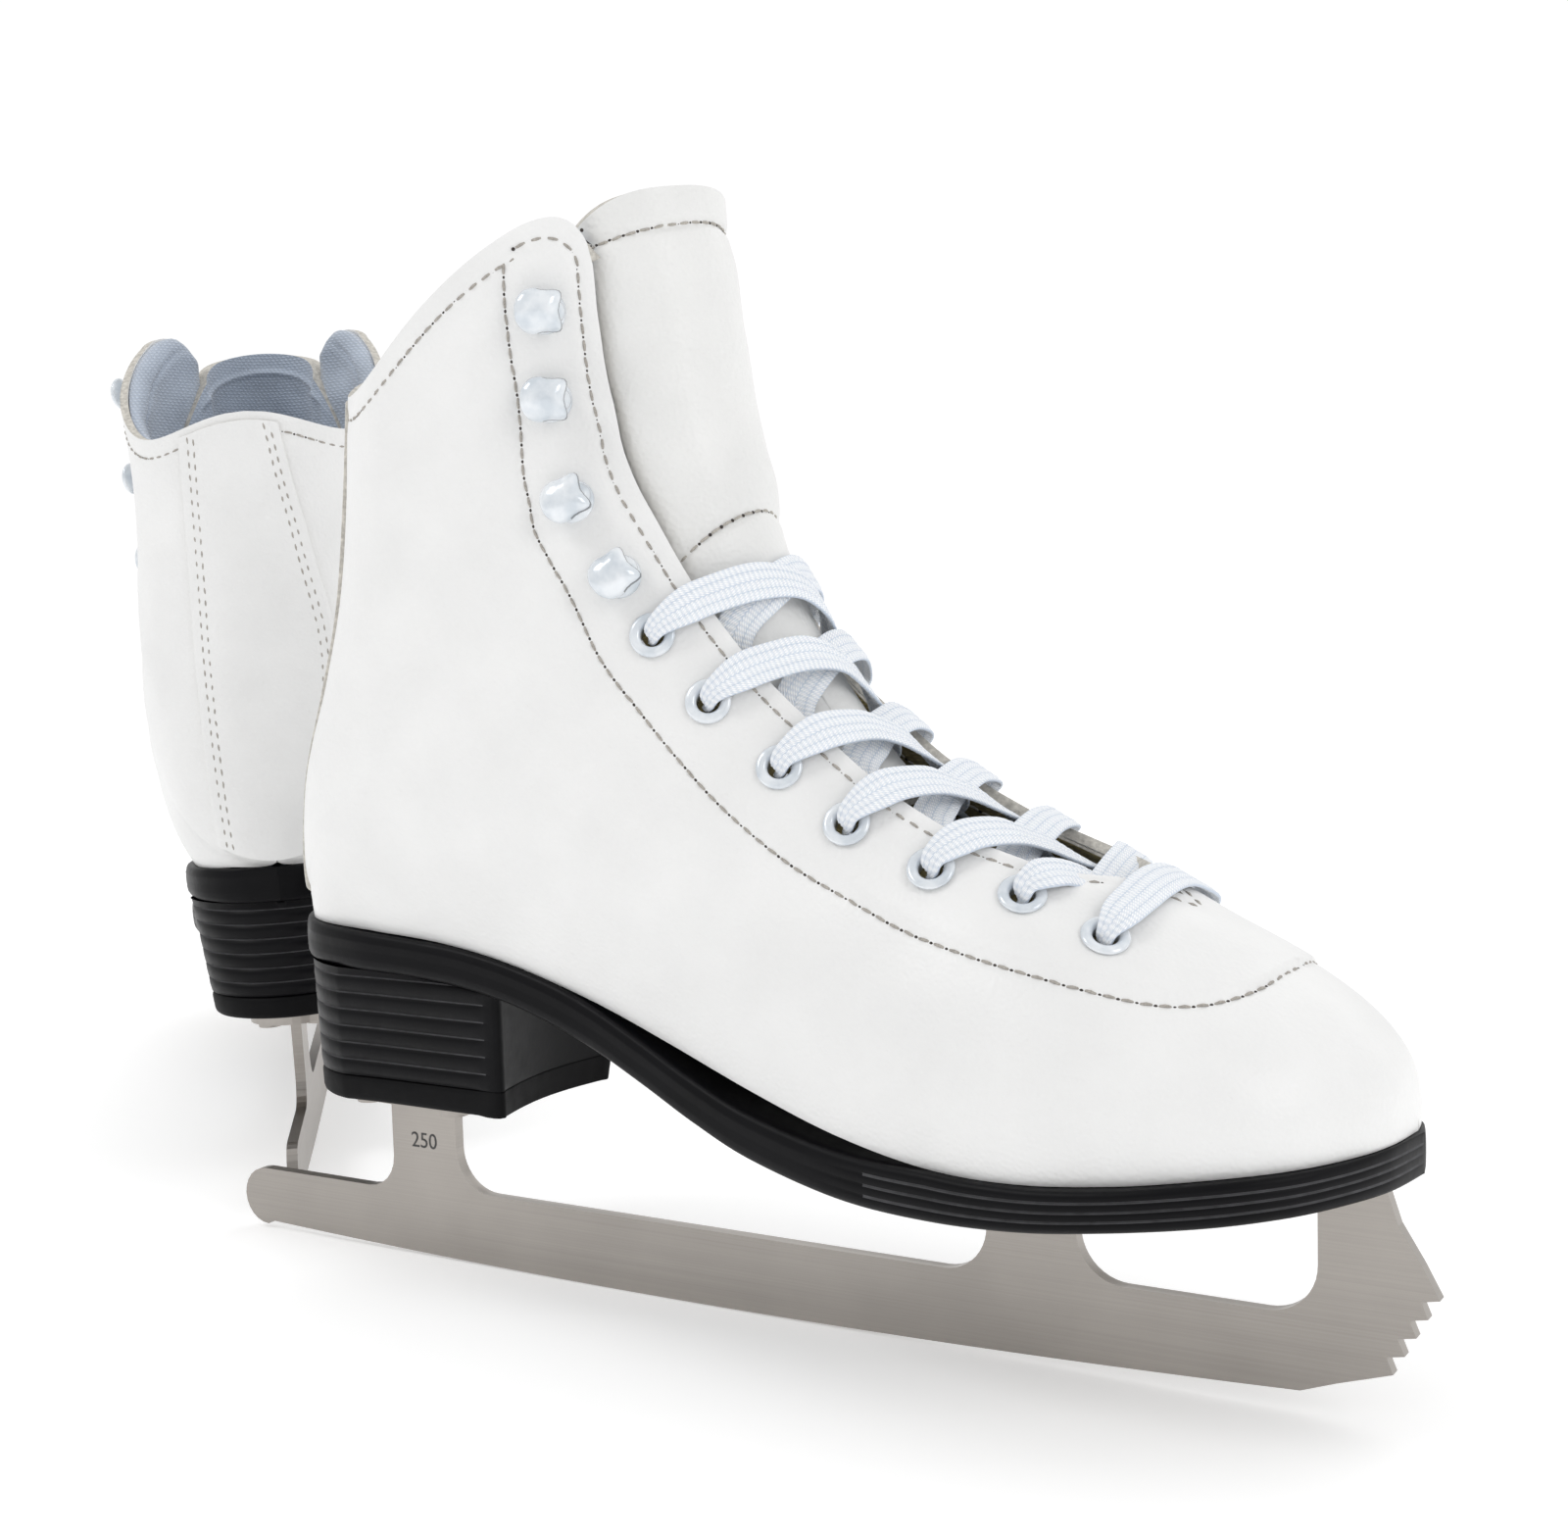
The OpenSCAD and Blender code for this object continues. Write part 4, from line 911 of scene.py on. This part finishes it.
def insole_shape():
    q = sole_rows(90, 3.2, 15.9)
    u = np.linspace(-1, 1, 30)
    a, b = -q[:, 1] + 11.0, q[:, 2] - 11.0
    y = (a + b)[:, None] / 2 + (b - a)[:, None] / 2 * u
    z = q[:, 3][:, None] + 3.9 + 1.2 * np.abs(u) ** 4
    x = np.broadcast_to(q[:, 0][:, None], y.shape)
    low, high = np.stack([x, y, z - 0.9], -1), np.stack([x, y, z + 1.4], -1)
    p, f, _, _ = closed_sheet(high, low)
    return p, f[:, ::-1], None


OVER, PROUD, UNDER = 2.1, 3.4, -4.6


def lace_shape():
    """The flat braided lace, from one loose end under the flap, down and up again."""
    def put(s, y, d, k):
        w = at_y(s, y)
        return np.concatenate([off(s, w, d), normal(s, w), [k]])

    def clear(s, y, d):
        return max(d, float(tongue_offset(np.array(s), np.array(y))) + 1.9)

    def crossing(i, side):
        a, b = EYELETS[i], EYELETS[i - 1]
        h, g, start, end = hole_y(a), hole_y(b), float(throat(a)) - 1, float(throat(b + 0.3)) - 3
        lift = 1.3 if side < 0 else 0.0
        first, last = (a - 0.25, b - 0.05) if side < 0 else (a - 0.25 * (a - b), a - 0.65 * (a - b))
        rows = [put(a, side * h, UNDER, 0.42), put(a, side * h, -1.0, 0.42),
                put(a, side * h, 1.9, 0.46), put(a - 0.02, side * (h - 1.3), PROUD - 0.1, 0.62),
                put((a + first) / 2, side * (h - 4.5), PROUD - 0.4, 0.93)]
        for v in (0, 0.2, 0.4, 0.6, 0.8, 1):
            s, y = first + (last - first) * v ** 0.85, side * (start - (start + end) * v)
            sag = 5.5 * min(1, max(0, (10.9 - s) / 1.5)) * max(0, 1 - (y / 18) ** 2)
            level = clear(s, y, OVER + (UNDER - OVER + 0.9) * v ** 1.4 - sag)
            rows.append(put(s, y, level + lift * 4 * v * (1 - v), 1))
        return rows + [put((last + b) / 2, -side * (end + 5), UNDER + 0.2, 1),
                       put(b + 0.1, -side * (g - 2), UNDER, 0.6)]

    def chain(side):
        return [r for i in range(6, 0, -1) for r in crossing(i, side if i % 2 == 0 else -side)]

    def tail(side):
        a = EYELETS[6]
        return [put(a + u, side * (hole_y(a) - 1), UNDER, 0.6) for u in (0.9, 0.3)]

    a, h = EYELETS[0], hole_y(EYELETS[0])
    bar = [put(a, -h, UNDER, 0.42), put(a, -h, 1.9, 0.46), put(a - 0.03, 4 - h, PROUD - 0.1, 0.85)]
    bar += [put(a - 0.05, y, OVER + 0.2, 1) for y in (-13, -7, 0, 7, 13)]
    bar += [put(a - 0.03, h - 4, PROUD - 0.1, 0.85), put(a, h, 1.9, 0.46), put(a, h, UNDER, 0.42)]
    path = np.array(tail(-1) + chain(-1) + bar + (tail(1) + chain(1))[::-1])
    line = smooth_line(path, 0.62)
    c, n0, k = line[:, :3], line[:, 3:6], np.clip(line[:, 6], 0.4, 1.02)
    t = unit(np.gradient(c, axis=0))
    y = np.cross(n0, t)
    weak = np.linalg.norm(y, axis=1) < 0.35
    good = np.where(~weak)[0]
    for a in range(3):
        y[:, a] = np.interp(np.arange(len(y)), good, y[good, a])
    y = unit(y - (y * t).sum(1, keepdims=True) * t)
    # the lace's width turns slowly, and never flips between one row and the next
    for i in range(1, len(y)):
        if np.dot(y[i], y[i - 1]) < 0:
            y[i] = -y[i]
    for _ in range(3):
        y[1:-1] = (y[:-2] + 2 * y[1:-1] + y[2:]) / 4
        y = unit(y - (y * t).sum(1, keepdims=True) * t)
    z = np.cross(t, y)
    run = runs(c)
    m = 40
    ang = np.linspace(0, 2 * math.pi, m, endpoint=False)
    cx = np.sign(np.cos(ang)) * np.abs(np.cos(ang)) ** 0.75
    cz = np.sign(np.sin(ang)) * np.abs(np.sin(ang)) ** 0.62
    v = (cx + 1) / 2
    knit = np.sin(v * 8 * math.pi)[None, :] * np.sin(run[:, None] * 2.9 + np.abs(cx)[None, :] * 9)
    ribs = np.cos(v * 10 * math.pi)[None, :] * 0.09
    half, thick = 4.15 * k[:, None], 0.62 * (1.75 - 0.75 * k)[:, None]
    wob = 1 + 0.02 * np.sin(run / 3.1)[:, None]
    r = thick * cz[None, :] + np.sign(cz)[None, :] * np.abs(cz)[None, :] * (0.1 * knit + ribs)
    p = c[:, None] + (half * wob * cx[None, :])[..., None] * y[:, None] + r[..., None] * z[:, None]
    f = grid(len(c), m, True)
    faces = [q.tolist() for q in f] + [cap[::-1] for cap in ends(len(c), m)]
    uv = np.stack(np.broadcast_arrays(run[:, None], v[None, :]), -1)
    return p.reshape(-1, 3), faces, uv.reshape(-1, 2)


def on_skin(shape, s, w, d):
    """Puts points on the surface, with +Z outwards and +X along the facing."""
    s, w = float(s), float(w)
    p, z = off(s, w, d), normal(s, w)
    x = unit(skin(min(s + 0.1, TOP), w) - skin(s - 0.1, w))
    y = unit(np.cross(z, x))
    return p + shape[:, :1] * np.cross(y, z) + shape[:, 1:2] * y + shape[:, 2:] * z


def revolved(profile, count=44, outline=None, shift=None):
    """Rings round an axis; an outline may scale their radius and shift may move them."""
    a = np.linspace(0, 2 * math.pi, count, endpoint=False)
    rim = np.ones(count) if outline is None else outline(a)
    rings = []
    for i, (r, z, mix) in enumerate(profile):
        rr = r * (1 + (rim - 1) * mix)
        c = (0, 0) if shift is None else shift(z)
        rings.append(np.stack([c[0] + rr * np.cos(a), c[1] + rr * np.sin(a), np.full(count, z)], 1))
    return np.concatenate(rings), len(profile), count


def rings_shape(side):
    b = BORE
    prof = [(b, -3.6), (3.6, -3.6), (3.9, -3.3), (3.5, -3.0), (b + 0.5, -2.9), (b + 0.5, 0.2),
            (4.3, 0.25), (4.62, 0.35), (4.62, 0.55), (4.4, 0.85), (3.9, 1.0), (3.2, 0.98),
            (2.75, 0.8), (b + 0.05, 0.45), (b, 0.1)]
    shape, rows, count = revolved([(r, z, 0) for r, z in prof])
    f = grid(rows + 1, count, True) % len(shape)
    return merged([(on_skin(shape, s, at_y(s, side * hole_y(s)), FACING), f) for s in EYELETS])


def hooks_shape(side, reach, higher=0.0):
    """Riveted hooks: a foot, a neck at the throat's side and a wide domed head."""
    corner = np.radians([0, 25, 50, 75, 95, 112, 128, 138, 148, 160, 172, 180])
    radius = np.array([5.0, 5.1, 5.1, 4.7, 4.2, 4.4, 5.3, 5.8, 5.2, 4.3, 3.9, 3.8])

    def outline(a):
        turned = np.abs((a + side * math.pi / 2 + math.pi) % (2 * math.pi) - math.pi)
        return np.interp(turned, corner, radius) / 5.5

    def shift(z):
        out, back = smoothstep((z - 0.9) / 0.8), smoothstep((z - 2.6) / 1.6)
        return 0, side * (1.9 * float(out) - 2.6 * float(back))

    # Radius, height and share of the outline, from the rivet under the leather to the dome
    prof = [(0.01, -3.2, 0), (2.8, -3.2, 0), (2.8, -2.7, 0), (1.6, -2.6, 0), (1.6, 0.0, 0),
            (4.3, 0.05, 0), (4.5, 0.4, 0), (4.2, 0.8, 0), (3.2, 1.1, 0), (2.5, 1.8, 0),
            (2.3, 2.6, 0.1), (2.7, 3.2, 0.3), (3.9, 3.7, 0.7), (5.1, 4.0, 1), (5.5, 4.3, 1),
            (5.55, 4.7, 1), (5.35, 5.1, 1), (4.9, 5.5, 1), (4.2, 5.8, 0.95), (3.2, 6.1, 0.8),
            (2.0, 6.3, 0.5), (0.9, 6.4, 0.2), (0.01, 6.42, 0)]
    count = 56
    shape, rows, count = revolved(prof, count, outline, shift)
    toward = side * shape[:, 1]
    high = shape[:, 2] > 3.4
    droop = 0.03 * shape[:, 0] ** 2 + 0.055 * np.maximum(0, toward - 0.6) ** 2
    shape[:, 2] -= np.where(high, droop, 0)
    f = grid(rows, count, True)
    centre = shape[f].mean(1)
    level = np.arange(len(f)) // count
    # Painted shade: the dome's rim on the throat's side takes the darker enamel
    dark = (level >= 13) & (level <= 15) & (side * centre[:, 1] > -1)
    places = [(s, at_y(s, side * (float(edge_at(s)) + reach))) for s in np.array(HOOKS) + higher]
    points, faces = merged([(on_skin(shape, s, w, 0.6), f) for s, w in places])
    return points, faces, np.tile(dark.astype(int), len(places))


canvas = canvas_shape()
# Hooks' distance from the throat and shift up the boot, in mm and stations
HOOK_SHIFT = {"right": (6.6, -0.5), "left": (12.0, 0.45)}
# The left tongue is pushed further down into its boot
TONGUES = {"right": tongue_shape(), "left": tongue_shape(1.4)}
SHAPES = {
    "upper": upper_shape(),
    "stay": stay_shape(),
    "stitches": stitched(LINES + STAY_LINES),
    "canvas": canvas[:4],
    "canvas_stitches": stitched(canvas[4], 3.3, 2.3, 0.28),
    "lining": lining_shape(),
    "sole": sole_shape(),
    "heel": heel_shape(),
    "heel_lift": stack([(41.6, 1.3, 0), (41.75, 0.6, 0), (42.2, 0.1, 0), (43, -0.1, 0),
                        (46.4, -0.1, 0), (47.2, 0.15, 0), (47.6, 0.7, 0)]),
    "insole": insole_shape(),
    "laces": lace_shape(),
}
for k, where in ((-1, "outer"), (1, "inner")):
    SHAPES[f"{where}_rings"] = rings_shape(k)
    SHAPES[f"{where}_hook_heads"] = {name: hooks_shape(k, *HOOK_SHIFT[name]) for name in SIDES}
for side in SIDES:
    build(side)


def size_mark(side):
    """The nominal size etched in the rear stanchion's outer face."""
    text = bpy.data.curves.new("size_number", "FONT")
    text.body, text.size, text.extrude, text.align_x = "250", 5.2 * MM, 0.03 * MM, "CENTER"
    obj = link(bpy.data.objects.new("size_number", text))
    bpy.context.view_layer.update()
    mesh = bpy.data.meshes.new_from_object(obj.evaluated_get(bpy.context.evaluated_depsgraph_get()))
    bpy.data.objects.remove(obj)
    co = np.array([v.co for v in mesh.vertices]) / MM
    p = np.stack([30 + co[:, 0], -1.43 - co[:, 2], 26 + co[:, 1]], 1)
    faces = [list(f.vertices) for f in mesh.polygons]
    bpy.data.meshes.remove(mesh)
    add("size_mark", side, p, faces, "mark_grey", ["mark"], smooth=False)


for side in SIDES:
    size_mark(side)

# ---------------------------------------------------------------- stage, camera and light
floor_mesh = bpy.data.meshes.new("studio_floor")
FLOOR_HALF, FLOOR_Z = 8, -0.0002
floor_mesh.from_pydata([(x * FLOOR_HALF, y * FLOOR_HALF, FLOOR_Z)
                        for x, y in ((-1, -1), (1, -1), (1, 1), (-1, 1))], [], [(0, 1, 2, 3)])
floor = link(bpy.data.objects.new("studio_floor", floor_mesh))
floor_paper = Nodes("white_paper", (0.8, 0.8, 0.8), 0.9)
floor_paper.set(Emission_Color=(1, 1, 1, 1), Emission_Strength=0.35)
floor_mesh.materials.append(floor_paper.mat)

world = bpy.data.worlds.new("studio")
world.use_nodes = True
back = world.node_tree.nodes["Background"]
where = world.node_tree.nodes.new("ShaderNodeTexCoord")
parts = world.node_tree.nodes.new("ShaderNodeSeparateXYZ")
shade = world.node_tree.nodes.new("ShaderNodeMapRange")
# A white backdrop behind the skates, and a dimmer studio in front of them
for name, value in (("From Min", -0.5), ("From Max", 0.35), ("To Min", 0.68), ("To Max", 1.02)):
    shade.inputs[name].default_value = value
back.inputs["Color"].default_value = (1, 1, 1, 1)
world.node_tree.links.new(where.outputs["Generated"], parts.inputs[0])
world.node_tree.links.new(parts.outputs["Y"], shade.inputs["Value"])
world.node_tree.links.new(shade.outputs["Result"], back.inputs["Strength"])
bpy.context.scene.world = world
bpy.context.scene.view_settings.view_transform = "Standard"


def area_light(name, at, aim, size, power):
    lamp = bpy.data.lights.new(name, "AREA")
    lamp.shape, lamp.size, lamp.size_y, lamp.energy = "RECTANGLE", size[0], size[1], power
    obj = bpy.data.objects.new(name, lamp)
    obj.location = at
    obj.rotation_euler = (Vector(aim) - Vector(at)).to_track_quat("-Z", "Y").to_euler()
    link(obj)


area_light("key_light", (-0.9, -1.3, 1.7), (0, 0, 0.1), (0.7, 0.7), 10)
area_light("fill_light", (1.5, -0.5, 0.9), (0, 0, 0.12), (0.5, 0.9), 4)
area_light("rim_light", (0.4, 1.6, 1.5), (0, 0, 0.12), (1.4, 0.8), 2)

# The camera's heading, dip and tilt in radians, its place in metres and its lens in mm
YAW, PITCH, ROLL = 0.540624, 0.10169, -0.0292886
EYE = (0.350396, -0.496733, 0.165174)
LENS = 51.54
right = Vector((math.cos(YAW), math.sin(YAW), 0))
ahead = Vector((-math.sin(YAW) * math.cos(PITCH), math.cos(YAW) * math.cos(PITCH),
                -math.sin(PITCH)))
above = Vector((-math.sin(YAW) * math.sin(PITCH), math.cos(YAW) * math.sin(PITCH),
                math.cos(PITCH)))
cam_x = math.cos(ROLL) * right + math.sin(ROLL) * above
cam_y = math.cos(ROLL) * above - math.sin(ROLL) * right
camera = bpy.data.cameras.new("camera")
camera.sensor_width, camera.sensor_fit = 36, "HORIZONTAL"
camera.lens, camera.clip_start = LENS, 0.01
eye = link(bpy.data.objects.new("camera", camera))
turn = Matrix((cam_x, cam_y, -ahead)).transposed().to_4x4()
eye.matrix_world = Matrix.Translation(EYE) @ turn
bpy.context.scene.camera = eye
